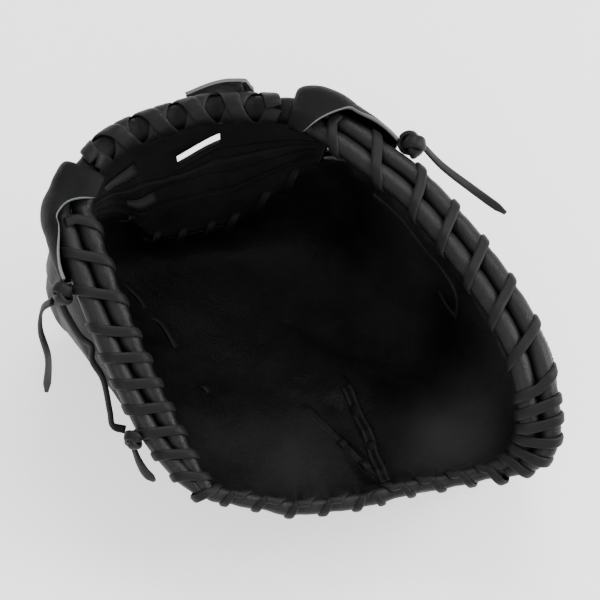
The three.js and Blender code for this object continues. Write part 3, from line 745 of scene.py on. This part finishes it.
def make_palm():
    """Wall of the pocket; it gives back its front's grid, normals and depths"""
    stations = even_stations(0, len(RIM_ROWS), PALM_COLUMNS)[:-1]
    frames = rim_frames(stations)
    depth = np.linspace(0, 1, PALM_ROWS) ** PALM_CROWDING
    front = smoothed_palm(frames, depth)
    front[:, 0] = palm_edge(frames)
    normal = padded(front, depth, upward=True)
    from_edge = np.linalg.norm(front - front[:, :1], axis=-1)
    laced = 1 - smooth(rim_share("drop", stations) / 0.2)
    hole = nearness(stations, LACE_MARKS, 3.2, aside=-4) * laced
    between = nearness(stations, LACE_MARKS, 7, aside=6) * laced
    pinch = hole[:, None] * np.exp(-((from_edge / 9) ** 2))
    swell = between[:, None] * np.exp(-(((from_edge - 5) / 6) ** 2))
    pleat = nearness(stations, LACE_MARKS, 1.5, aside=-2)[:, None] * laced[:, None]
    pleat = pleat * peak(from_edge, PLEAT_LENGTH)
    creases = rough(front, 30) * 0.5 + rough(front, 11, 5.3) * 0.12
    veins = peak(rough(front, 11, 11.7), 0.12)
    relief = SWELL_HEIGHT * swell - PINCH_DEPTH * pinch - PLEAT_DEPTH * pleat + creases
    relief = relief - VEIN_DEPTH * veins
    front = front + normal * (relief * smooth(from_edge / EDGE_FADE))[..., None]
    # The swells between the lace holes take wear; the mounds add painted light on the heel pad and
    # palm
    wear = SWELL_WEAR * swell + sum(share * mound(front, *place) for share, *place in PALM_PAINTED_LIGHT)
    back_depth = np.append(depth[::PALM_BACK_STEP], 1.0)
    back = smoothed_palm(frames, back_depth)
    back = back + padded(back, back_depth, upward=False) * PALM_WALL
    shape = Shape()
    shape.wall(front, back, wear, loop=True)
    # The pocket's leather is in painted shade
    build(shape, "pocket_leather", [PALM_PAINTED_SHADE], ["palm"])
    return front, normal, depth


PALM_GRID, PALM_NORMALS, PALM_STEPS = make_palm()


def on_palm(places, step=1.2, lift=0.0, aside=0.0):
    """Path on the palm, and its normals, through places by station and depth"""
    fine = resample([(station, 10 * depth, 0) for station, depth in places], 0.02)
    columns, rows = PALM_GRID.shape[:2]
    whole = length_at(len(RIM_ROWS)) - length_at(0)
    column = (length_at(fine[:, 0]) - length_at(0)) / whole * columns
    row = np.interp(fine[:, 1] / 10, PALM_STEPS, np.arange(rows))
    i, j = np.floor(column).astype(int), np.minimum(np.floor(row).astype(int), rows - 2)
    s, t = (column - i)[:, None], (row - j)[:, None]
    i, n = i % columns, (i + 1) % columns

    def between(grid):
        return mix(mix(grid[i, j], grid[n, j], s), mix(grid[i, j + 1], grid[n, j + 1], s), t)

    path, normals = between(PALM_GRID), unit(between(PALM_NORMALS))
    lengths = running_length(path)
    wanted = np.linspace(0, lengths[-1], max(3, round(lengths[-1] / step)) + 1)
    path, normals = read_at(wanted, lengths, path), read_at(wanted, lengths, normals)
    side = unit(np.cross(np.gradient(path, axis=0), normals))
    return path + unit(normals) * lift + side * aside, unit(normals)


# Seams and short laces of the palm: places by station and depth
PALM_SEAMS = {
    "left": [(0.6, 0.531), (0.99, 0.422), (1.39, 0.316), (1.57, 0.194), (1.7, 0.1)],
    "right": [(2.57, 0.665), (2.19, 0.531), (2.01, 0.39), (1.82, 0.275), (1.76, 0.184), (1.7, 0.1)],
}
PALM_EDGING = [(9.9, 0.06), (9.68, 0.063), (9.12, 0.071), (8.63, 0.099), (8.32, 0.099), (8.1, 0.14),
               (8.0, 0.25)]
PALM_LACES = [
    [(16.82, 0.444), (17.31, 0.509), (17.92, 0.542)],
    [(18.18, 0.553), (18.5, 0.587), (19.22, 0.598)],
    [(20.42, 0.553), (20.79, 0.553)],
    [(8.38, 0.234), (8.19, 0.244), (7.99, 0.255)],
    [(1.15, 0.38), (1.3, 0.34)],
    [(1.48, 0.26), (1.56, 0.2)],
    [(2.3, 0.58), (2.14, 0.5)],
    [(1.97, 0.36), (1.86, 0.3)],
]
PALM_LACE_WIDTH = 5
PALM_LACE_LIFT = 0.9
PALM_LACE_SUNK = 2.6

# Ridges along each seam: how far aside they lie, and their radius
SEAM_RIDGES = {"left": ((0,), 1.1), "right": ((-1.9, 1.9), 1.5)}


def make_palm_details():
    threads, welts = Shape(), Shape()
    for side, (ridges, radius) in SEAM_RIDGES.items():
        for aside in ridges:
            path, normals = on_palm(PALM_SEAMS[side], lift=-0.5, aside=aside)
            cord_tube(welts, path, normals, radius, sides=12, wear=0.35)
        stitches(threads, *on_palm(PALM_SEAMS[side], lift=-0.15, aside=-4.2), pitch=4)
    path, normals = on_palm(PALM_EDGING, lift=-0.2)
    cord_tube(welts, path, normals, 1.3, wear=0.3)
    stitches(threads, *on_palm(PALM_EDGING, aside=3))
    # The welts take the pocket's leather in painted shade
    build(welts, "palm_welts", [PALM_PAINTED_SHADE])
    build(threads, "palm_stitches", [THREAD])
    laces = Shape()
    for places in PALM_LACES:
        path, normals = on_palm(places)
        share = np.linspace(0, 1, len(path))
        sunk = PALM_LACE_SUNK * (1 - np.sin(np.pi * share) ** 0.4)
        path = path + normals * (PALM_LACE_LIFT - sunk)[:, None]
        band(laces, path, normals, PALM_LACE_WIDTH, LACE_THICKNESS, cup=0.2)
    # The palm's laces take the lace leather in painted shade
    build(laces, "palm_laces", [PAINTED_SHADE_LACE])


make_palm_details()


# Rolls of the rim

# Shares of a roll's radius: between turns of lacing, lost under them, in lumps, and at a free end
ROLL_FULL = 1.03
ROLL_SQUEEZE = 0.11
ROLL_UNEVEN = 0.035
ROLL_FLAT = 0.06
ROLL_END = 0.6
ROLL_END_LENGTH = 14
ROLL_SIDES = 22
ROLL_STEP = 1.7
SQUEEZE_REACH = 3.6
SQUEEZE_ASIDE = {"inner": -2.5, "outer": 2.5, "web": 0.0}


def make_roll(name, span, side, replaced):
    """One roll of the rim, swollen between the turns of lacing"""
    frames = frames_by_step(*span, ROLL_STEP)
    stations = frames.station
    radius, inner, outer = rolls_at(stations)
    middle = {"inner": inner, "outer": outer, "web": np.zeros_like(inner)}[side]
    marks = LACE_MARKS
    if side == "web":
        radius, marks = WEB_ROLL_RADIUS, even_stations(*SPANS["web_lacing"], 2 * WEB_LACE_TURNS)
    held = nearness(stations, marks, SQUEEZE_REACH, SQUEEZE_ASIDE[side])
    angle = np.linspace(0, 360, ROLL_SIDES, endpoint=False)
    lumps = rough(frames.centre, 13, 3.1 if side == "inner" else 8.4)
    size = radius * (ROLL_FULL - ROLL_SQUEEZE * held + ROLL_UNEVEN * lumps)
    if side == "outer":
        end = span[0] if span == SPANS["finger_roll"] else span[1]
        from_end = np.abs(length_at(stations) - length_at(end))
        size = size * mix(ROLL_END, 1, smooth(from_end / ROLL_END_LENGTH))
    squash = 1 - ROLL_FLAT * np.sin(np.radians(angle)) ** 2
    ring = section_direction(spread(frames), angle) * (size[:, None] * squash)[..., None]
    # Lighter on the upper half between turns of lacing: wear, and painted light where the tops face up
    wear = 0.5 * smooth(1 - held)[:, None] * smooth(np.sin(np.radians(angle)))[None, :]
    shape = Shape()
    shape.tube(offset(frames, middle, 0)[:, None] + ring, wear)
    # The web's roll takes the shell leather in painted shade
    build(shape, name, [HOOD_PAINTED_SHADE if side == "web" else SHELL], [replaced])


make_roll("roll_inner", SPANS["palm_roll"], "inner", "rim_roll_palm")
make_roll("roll_outer_finger", SPANS["finger_roll"], "outer", "rim_roll_finger")
make_roll("roll_outer_thumb", SPANS["thumb_roll"], "outer", "rim_roll_thumb")
make_roll("roll_web", SPANS["web_roll"], "web", "web_roll")


# Lacing round the rim

# Path of one turn: 1 on the outer roll, degrees in the section, and how far along the turn
TURN_PATH = np.array([
    [1, 90, 0.16], [1, 30, 0.32], [1, -30, 0.41], [1, -90, 0.47],
    [0, -90, 0.55], [0, -150, 0.61], [0, -210, 0.69], [0, -270, 0.86], [1, -270, 1.16],
])

# Shares of its width, round one roll and two
LACE_WIDTH_SHARES = (0.68, 0.94)
LACE_UNEVEN = 0.07


def make_rim_lace():
    per_turn = 34
    shape = Shape()
    for side_marks in SIDE_MARKS.values():
        total = len(side_marks) - 1
        t = np.linspace(0, total, total * per_turn + 1)
        turn = np.minimum(np.floor(t), total - 1)
        t_turn = mix(TURN_PATH[0, 2], TURN_PATH[-1, 2], t - turn)
        roll, angle, _ = read_at(t_turn, TURN_PATH[:, 2], TURN_PATH).T
        marks = length_at(side_marks)
        stations = station_at(np.interp(turn + t_turn, np.arange(total + 1), marks))
        frames = rim_frames(stations)
        radius, inner, outer = rolls_at(stations)
        face = section_direction(frames, angle)
        lift = radius * 0.99 + LACE_THICKNESS / 2
        path = offset(frames, mix(inner, outer, roll), 0) + face * lift[:, None]
        tapered = mix(*LACE_WIDTH_SHARES, rim_share("outer", stations))
        width = LACE_WIDTH * tapered * (1 + LACE_UNEVEN * rough(path, 9, 2.0))
        band(shape, path, face, width, LACE_THICKNESS, cup=0.4)
    build(shape, "rim_lacing", [LACE], ["rim_lace"])


make_rim_lace()


# Crossed lacing round the web's roll

# Where the two laces cross, in degrees round the roll
WEB_CROSSING = 120


def make_web_lace(name, sense, over, replaced):
    per_turn = 40
    steps = WEB_LACE_TURNS * per_turn
    frames = frames_between(*SPANS["web_lacing"], steps)
    k = np.arange(steps + 1)
    angle = WEB_CROSSING + sense * 360.0 * k / per_turn
    face = section_direction(frames, angle)
    crossing = np.abs(np.cos(np.pi * 2 * k / per_turn)) ** 3
    lift = WEB_ROLL_RADIUS + LACE_THICKNESS * (0.5 + over * crossing)
    path = frames.centre + face * lift[:, None]
    width = WEB_LACE_WIDTH * (1 + 0.06 * rough(path, 9, 4.0))
    build_lace(name, LACE, [replaced], path, face, width, LACE_THICKNESS, cup=0.3)


make_web_lace("web_lacing_low", 1, 0.0, "web_lace_under")
make_web_lace("web_lacing_high", -1, 1.1, "web_lace_over")


# Backs of the stalls

# Their depth from the outer roll to the inner edge, rows and step along the rim
SHELL_DEPTH = 0.72
SHELL_COLUMNS = 84
SHELL_STEP = 2.2
SHELL_ROOM = 0.7
GROOVE_DEPTH = 2.4
GROOVE_REACH = 0.035
BINDING_RADIUS = 2.1
BINDING_LIFT = 2.2

# Section of a back by the palm's depth: shares of the stall's depth, and how far it sags
SHELL_ROWS = np.array([
    [0, 0, 0], [0.08, 0.36, 0], [0.2, 0.62, 0], [0.28, 0.82, 0.02], [0.36, 1, 0.12],
    [0.46, 1.05, 0.4], [0.56, 1, 0.6], [0.68, 0.95, 0.6], [SHELL_DEPTH, 0, 0],
])


def make_shell(name, span, grooves, replaced):
    """Back of a stall; it gives back its outer grid and the directions out of it"""
    frames = frames_by_step(*span, SHELL_STEP)
    stations = frames.station
    depth = np.linspace(0, SHELL_DEPTH, SHELL_COLUMNS)
    kernel = np.array([1, 2, 3, 2, 1]) / 9
    section = read_at(depth, SHELL_ROWS[:, 0], SHELL_ROWS[:, 1:]).T
    opened, sag = (np.convolve(np.pad(values, 2, "edge"), kernel, "valid") for values in section)
    surface = palm_surface(frames, depth)
    near = palm_surface(frames, np.maximum(depth - 0.02, 0))
    far = palm_surface(frames, np.minimum(depth + 0.02, 1))
    out = frames.out[:, None]
    fall = np.maximum(near[..., 2] - far[..., 2], 0)
    inward = np.maximum(((near - far) * out).sum(-1), 0)
    outward = out * fall[..., None] - np.array([0, 0, 1.0]) * inward[..., None]
    outward = unit(mix(out, unit(outward), smooth(depth / 0.2)[None, :, None]))
    radius, inner, outer = rolls_at(stations)
    apart = (outer - inner)[:, None]
    wide = mix(apart, STALL_DEPTH, rim_share("stall", stations)[:, None])
    shut = PALM_WALL + SHELL_WALL + SHELL_ROOM
    start = mix(apart + 2.6, shut, smooth((depth - 0.08) / 0.02))
    groove = sum(peak(depth - g, GROOVE_REACH) for g in grooves)
    distance = mix(start, np.maximum(wide, shut), opened) - GROOVE_DEPTH * groove
    front = surface + outward * distance[..., None]
    front[..., 2] -= sag * wide
    bulge = 3.5 * smooth((stations - 5.5) / 1.5) * smooth((10.5 - stations) / 1.5)
    bulge = bulge - 4.5 * smooth((stations - 18.5) / 0.7)
    front = front + outward * (bulge[:, None] * smooth((0.3 - depth) / 0.2))[..., None]
    creases = rough(front, 24, 6.0) * 0.7 + rough(front, 9, 1.0) * 0.25
    front = front + outward * (creases * smooth(depth / 0.06))[..., None]
    back = front - outward * SHELL_WALL
    front[..., 2] = np.maximum(front[..., 2], 0)
    back[..., 2] = np.maximum(back[..., 2], SHELL_WALL)
    shape = Shape()
    # The back is lightened evenly but not in its grooves, which stay darker as painted shade
    shape.wall(front, back, 0.25 * smooth(1 - groove))
    build(shape, name, [BACK], [replaced])
    make_binding(name, front, back)
    return front, outward


def make_binding(name, front, back):
    """Rolled binding along a back's three free edges"""
    grids = (front + back) / 2, unit(front - back)
    edge, normals = (np.vstack([grid[0], grid[1:-1, -1], grid[-1][::-1]]) for grid in grids)
    edge[:, 2] = np.maximum(edge[:, 2], BINDING_LIFT)
    shape = Shape()
    cord_tube(shape, edge, normals, BINDING_RADIUS, wear=0.3)
    build(shape, name + "_binding", [BACK])


FINGER_SHELL = make_shell("finger_shell", SPANS["finger_back"], (0.22, 0.33, 0.45), "finger_back")
THUMB_SHELL = make_shell("thumb_shell", SPANS["thumb_back"], (0.26, 0.42), "thumb_back")


# Wrist strap

# Its ends lie on the backs at stations and depths, its middle on the ground at shares of the rim,
# and its seams so far from its middle
STRAP_WIDTH = 28
STRAP_THICKNESS = 2.6
STRAP_STATIONS = {"finger": 6.1, "thumb": 21}
STRAP_DEPTHS = [0.3, 0.42]
STRAP_ALONG = -0.34
STRAP_ACROSS = [0.27, 0.15, 0.02, -0.1]
STRAP_LIFT = 0.3
STRAP_SEAM = 11


def on_shell(shell, span, station, depth, lift):
    """Place on a back and the direction out of it"""
    front, outward = shell
    share = (length_at(station) - length_at(span[0])) / (length_at(span[1]) - length_at(span[0]))
    i = round(share * (len(front) - 1))
    j = round(depth / SHELL_DEPTH * (front.shape[1] - 1))
    return front[i, j] + outward[i, j] * lift, outward[i, j]


def make_strap():
    half = STRAP_THICKNESS / 2
    ends = []
    for side, shell in (("finger", FINGER_SHELL), ("thumb", THUMB_SHELL)):
        at = SPANS[side + "_back"], STRAP_STATIONS[side]
        ends.append([on_shell(shell, *at, depth, half + STRAP_LIFT) for depth in STRAP_DEPTHS])
    grounds = [np.array([share * RIM_WIDTH, STRAP_ALONG * RIM_LENGTH, half]) for share in STRAP_ACROSS]
    places = ends[0] + [(ground, np.array([0, 0, -1.0])) for ground in grounds] + ends[1][::-1]
    spots, faces = map(np.array, zip(*places))
    path = resample(spots, 3)
    share = np.linspace(0, len(places) - 1, len(path))
    face = unit(read_at(share, range(len(places)), faces))
    path[:, 2] = np.maximum(path[:, 2], half)
    shape = Shape()
    band(shape, path, face, STRAP_WIDTH, STRAP_THICKNESS)
    build(shape, "strap_leather", [SHELL], ["wrist_strap"])
    side = unit(np.cross(np.gradient(path, axis=0), face))
    threads = Shape()
    for aside in (-STRAP_SEAM, STRAP_SEAM):
        stitches(threads, path + side * aside + face * STRAP_THICKNESS / 2, face)
    threads.keep_above_ground()
    build(threads, "strap_stitches", [THREAD])


make_strap()


# Lace outside the thumb, and the stitches of both backs

BACK_LACE = [[-130, -20, 119], [-129, -30, 112], [-120, -44, 104], [-113.5, -48, 99], [-113, -55, 95],
             [-107, -64, 90], [-103.5, -78, 80], [-102, -84, 75], [-95, -86, 74]]
BACK_LACE_WIDTH = 4.6
BACK_LACE_FACING = np.array([-0.8, -0.3, 0.5])

# Rows of each back's grid with stitches
FINGER_SEAMS = (8, 24, 40, 56, 78)
THUMB_SEAMS = (8, 30, 50, 78)
END_SEAMS = (3, -4)


def make_back_details():
    path = resample(BACK_LACE, 1.6)
    facing = np.broadcast_to(BACK_LACE_FACING, path.shape)
    # The lace outside the thumb takes the lace leather in painted shade
    build_lace("back_lacing", PAINTED_SHADE_LACE, (), path, facing, BACK_LACE_WIDTH, LACE_THICKNESS, cup=0.2)
    threads = Shape()
    for (front, outward), rows in ((FINGER_SHELL, FINGER_SEAMS), (THUMB_SHELL, THUMB_SEAMS)):
        for row in rows:
            stitches(threads, front[3:-3, row], outward[3:-3, row])
        for column in END_SEAMS:
            stitches(threads, front[column, 4:-4], outward[column, 4:-4])
    threads.keep_above_ground()
    build(threads, "back_stitches", [THREAD])


make_back_details()


# Hoods over the two tips

# Section of a hood: 1 is the outer roll, 0 the inner one
HOOD_SECTION = np.array([[1, -75], [1, 15], [1, 90], [0, 90], [0, 150]])


def make_hood(name, span, swell, replaced):
    """Cap over both rolls at the tip, then a flap over the outer roll alone"""
    count = 60
    frames = frames_between(*span, count)
    along = np.linspace(0, 1, count + 1)
    opened = smooth((along - 0.22) / 0.3)
    across = np.linspace(0, 1, 34)
    share = across[None, :] * mix(1, 0.44 - 0.16 * smooth((along - 0.55) / 0.45), opened)[:, None]
    section = read_at(share, np.linspace(0, 1, len(HOOD_SECTION)), HOOD_SECTION)
    radius, inner, outer = rolls_at(frames.station)
    middle = mix(inner[:, None], outer[:, None], section[..., 0])[..., None]
    direction = section_direction(spread(frames), section[..., 1])
    bulge = swell * np.sin(np.pi * np.clip(along / 0.5, 0, 1))
    lift = mix(0.8, LACE_THICKNESS + 2, opened) * smooth(along / 0.05 + 0.2) + bulge
    flare = 2.4 * opened * np.sin(np.pi * along)
    closed = mix(0.15, 1, smooth(across / 0.35))
    rise = radius[:, None] + lift[:, None] * closed[None, :] + flare[:, None] * across[None, :] ** 2
    base = frames.centre[:, None] + frames.out[:, None] * middle
    creases = 0.35 * rough(base + direction * radius[:, None, None], 8, 12.0)
    front = base + direction * (rise + HOOD_WALL + creases)[..., None]
    back = base + direction * rise[..., None]
    shape = Shape()
    shape.wall(front, back, 0.3 * np.abs(2 * across - 1)[None, :] ** 6, edge=1)
    # The hood takes the shell leather in painted shade
    build(shape, name, [HOOD_PAINTED_SHADE, RAW], [replaced])


make_hood("finger_cap", SPANS["finger_hood"], 4.5, "finger_hood")
make_hood("thumb_cap", SPANS["thumb_hood"], 0.4, "thumb_hood")


# Web

# Slots: start and end along the web, then the depths of top and foot at both of them.
# The first one goes through, the others are blind.
SLOT_DEPTH = 2
BAR_GROOVE = 1.1
POST_HEIGHT = 0.8
WEB_SLOTS = [
    ((0.4, 0.56), (0.1, 0.23), (0.21, 0.34)),
    ((0.71, 0.87), (0.16, 0.32), (0.27, 0.43)),
    ((0.66, 0.8), (0.5, 0.62), (0.6, 0.72)),
]


def web_surface(frames, share):
    """Side of the web that faces the pocket, at shares of its depth"""
    top = offset(frames, -WEB_WALL / 2, -(WEB_ROLL_RADIUS + LACE_THICKNESS + 2))
    foot = palm_edge(frames)
    foot[..., 2] += 1.2
    return mix(top[:, None], foot[:, None], share[..., None])


def make_web():
    spans, tops, feet = zip(*WEB_SLOTS)
    along = np.unique(np.concatenate([np.linspace(0, 1, 141), *spans]))
    upper = [np.interp(along, spans[0] + spans[1], edge[0] + edge[1]) for edge in (tops, feet)]
    lower = [np.interp(along, spans[2], edge[2]) for edge in (tops, feet)]
    lines = [np.zeros_like(along), *upper, *lower, np.ones_like(along)]
    counts = [6, 6, 14, 6, 16]
    rows = [mix(a, b, t) for a, b, n in zip(lines, lines[1:], counts) for t in np.arange(n) / n]
    share = np.stack(rows + [lines[-1]], -1)
    start, end = SPANS["web"]
    frames = rim_frames(station_at(mix(length_at(start), length_at(end), along)))
    front = web_surface(frames, share)
    first_bar = share - (lines[2] + lines[3])[:, None] / 2
    groove = peak(first_bar, 0.018) + peak(share - lines[4][:, None] - 0.06, 0.016)
    post = peak(along - 0.635, 0.06)[:, None] * smooth((0.5 - share) / 0.05)
    relief = POST_HEIGHT * post - BAR_GROOVE * groove + 0.3 * rough(front, 12, 3.0)
    front = front - frames.out[:, None] * relief[..., None]
    back = web_surface(frames, share) + frames.out[:, None] * WEB_WALL
    middle = (along[1:] + along[:-1]) / 2
    steps = np.concatenate([[0], np.cumsum(counts)])
    open_cells = np.zeros((len(along) - 1, share.shape[1] - 1), bool)
    inside = (middle > spans[0][0]) & (middle < spans[0][1])
    open_cells[inside, steps[1]:steps[2]] = True
    # Painted highlights: a lighter line along the first bar, and lighter floors in the two blind slots
    wear = 0.15 * peak(first_bar, 0.03)
    for (start, end), row in ((spans[1], 1), (spans[2], 3)):
        floor = slice(steps[row] + 1, steps[row + 1])
        sunk = (along > start + 0.004) & (along < end - 0.004)
        front[sunk, floor] += frames.out[sunk][:, None] * SLOT_DEPTH
        wear[(along > start) & (along < end), floor] = 1
    shape = Shape()
    f = shape.add(front, wear)
    b = shape.add(back)
    solid = np.pad(~open_cells, 1)
    for i, j in np.argwhere(~open_cells):
        here, right, above, both = (i, j), (i, j + 1), (i + 1, j), (i + 1, j + 1)
        shape.face((f[here], f[above], f[both], f[right]))
        shape.face((b[here], b[right], b[both], b[above]))
        sides = ((-1, 0, here, right), (1, 0, above, both), (0, -1, here, above), (0, 1, right, both))
        for di, dj, p, q in sides:
            if not solid[i + 1 + di, j + 1 + dj]:
                shape.face((f[p], f[q], b[q], b[p]))
    # The web's leather is in painted shade
    build(shape, "web_leather_painted_shade", [WEB_PAINTED_SHADE], ["web"])
    threads = Shape()
    low = np.full_like(along, 0.93)
    for level in (lines[2] + 0.03, lines[3] - 0.03, lines[4] + 0.03, lines[4] + 0.09, low):
        path = web_surface(frames, level[:, None])[:, 0] - frames.out * 0.2
        stitches(threads, path[4:-4], -frames.out[4:-4])
    build(threads, "web_stitches", [THREAD])


make_web()


def make_seam_lace():
    per_turn = 26
    steps = SEAM_LACE_TURNS * per_turn
    start, end = SPANS["web"]
    frames = frames_between(start + 0.5, end - 0.5, steps)
    turn = 2 * np.pi * (np.arange(steps + 1) / per_turn + 1 / 12)
    face = frames.out * np.cos(turn)[:, None]
    face[:, 2] = np.sin(turn)
    reach = PALM_WALL / 2 + LACE_THICKNESS / 2 + 0.9
    path = palm_edge(frames) + frames.out * (PALM_WALL / 2 + reach * np.cos(turn))[:, None]
    path[:, 2] += SEAM_LACE_WIDTH * np.sin(turn)
    section = SEAM_LACE_WIDTH, LACE_THICKNESS
    # The seam's lace takes the lace leather in painted shade
    build_lace("seam_lacing", PAINTED_SHADE_LACE, ["seam_lace"], path, face, *section, cup=0.2)


make_seam_lace()


# Loop behind the web

TAB_HEIGHT = 26
TAB_THICKNESS = 2.4
TAB_STANDOFF = 5.2


def make_tab():
    count = 56
    frames = frames_between(*SPANS["web_tab"], count)
    along = np.linspace(0, 1, count + 1)
    arch = smooth(along / 0.1) * (1 - smooth((along - 0.35) / 0.75))
    rows = np.linspace(0, 1, 20)
    height = TAB_HEIGHT * mix(-0.55, 0.28 * arch[:, None], rows[None, :])
    outward = np.full_like(height, WEB_ROLL_RADIUS + TAB_STANDOFF)
    seam = peak(along - 0.14, 0.025)[:, None]
    bent = 0.5 * rough(offset(frames, outward[:, 0], height[:, 0]), 20, 4.0)[:, None]
    front = offset(spread(frames), outward - 0.7 * seam + bent, height)
    back = offset(spread(frames), outward + TAB_THICKNESS + bent, height)
    shape = Shape()
    shape.wall(front, back, 0.2 * smooth((rows - 0.8) / 0.2)[None, :], edge=1)
    build(shape, "web_loop", [SHELL, RAW], ["web_tab"])


make_tab()


# Knots

# Their lace at size 1: the ring that it winds on, its swing in and across, and its section
KNOT_RING = 3.6
KNOT_SWING = 0.46
KNOT_DEPTH = 2.6
KNOT_LACE_WIDTH = 6.4
KNOT_LACE_THICKNESS = 2.4

# Their stations, how far they lie out and up from there, and their sizes
KNOTS = {
    "right": (9.73, 14.5, 2, 1.25),
    "left": (18.91, 13.5, 0, 1.05),
    "lower": (20.95, 11, 3, 0.9),
}


def make_knot(name, station, outward, upward, size):
    frame = rim_frames(np.array([station]))
    outer = rolls_at(frame.station)[2]
    centre = offset(frame, outer + outward, upward)[0]
    turn = np.linspace(0, 2 * np.pi, 121)[:-1]
    ring = KNOT_RING * size * (1 + KNOT_SWING * np.cos(3 * turn))
    axes = [frame.ahead[0], frame.up[0], frame.out[0]]
    parts = [ring * np.cos(2 * turn), ring * np.sin(2 * turn), KNOT_DEPTH * size * np.sin(3 * turn)]
    path = centre + sum(axis * part[:, None] for axis, part in zip(axes, parts))
    face = unit(path - centre + axes[2] * 2)
    section = KNOT_LACE_WIDTH * size, KNOT_LACE_THICKNESS * size
    build_lace(f"lace_knot_{name}", LACE, [f"knot_{name}"], path, face, *section, cup=0.5)


for knot_name, knot in KNOTS.items():
    make_knot(knot_name, *knot)


# Floor and lights

# The floor's size and gap below the mitt in metres, and its own light
FLOOR_SIZE = 6
FLOOR_GAP = 0.0003
FLOOR_GLOW = 1.0
SKY_LIGHT = 0.9

# Softboxes: place and size in metres, and power in watts
SOFTBOXES = {
    "key": ((0.3, 0.8, 1.7), 0.9, 17),
    "side": ((1.4, 0.1, 0.9), 0.9, 24),
    "front": ((-0.3, -1.3, 1.2), 1.0, 7),
}


def make_floor():
    bpy.ops.mesh.primitive_plane_add(size=FLOOR_SIZE, location=(0, 0, -FLOOR_GAP))
    floor = bpy.context.object
    floor.name = "floor"
    material, shader = new_material("pale_floor")
    fill(shader, {"Base Color": (0.97, 0.97, 0.97, 1), "Roughness": 0.9,
                  "Emission Color": (1, 1, 1, 1), "Emission Strength": FLOOR_GLOW})
    floor.data.materials.append(material)


def softbox(name, location, size, power):
    data = bpy.data.lights.new(name, "AREA")
    data.shape, data.size, data.energy = "DISK", size, power
    light = new_object(name, data)
    light.location = location
    light.rotation_euler = (LOOK_AT - Vector(location)).to_track_quat("-Z", "Y").to_euler()


make_floor()
for light_name, settings in SOFTBOXES.items():
    softbox(light_name, *settings)
world = bpy.data.worlds.new("studio")
bpy.context.scene.world = world
world.use_nodes = True
fill(world.node_tree.nodes["Background"], {"Color": (1, 1, 1, 1), "Strength": SKY_LIGHT})
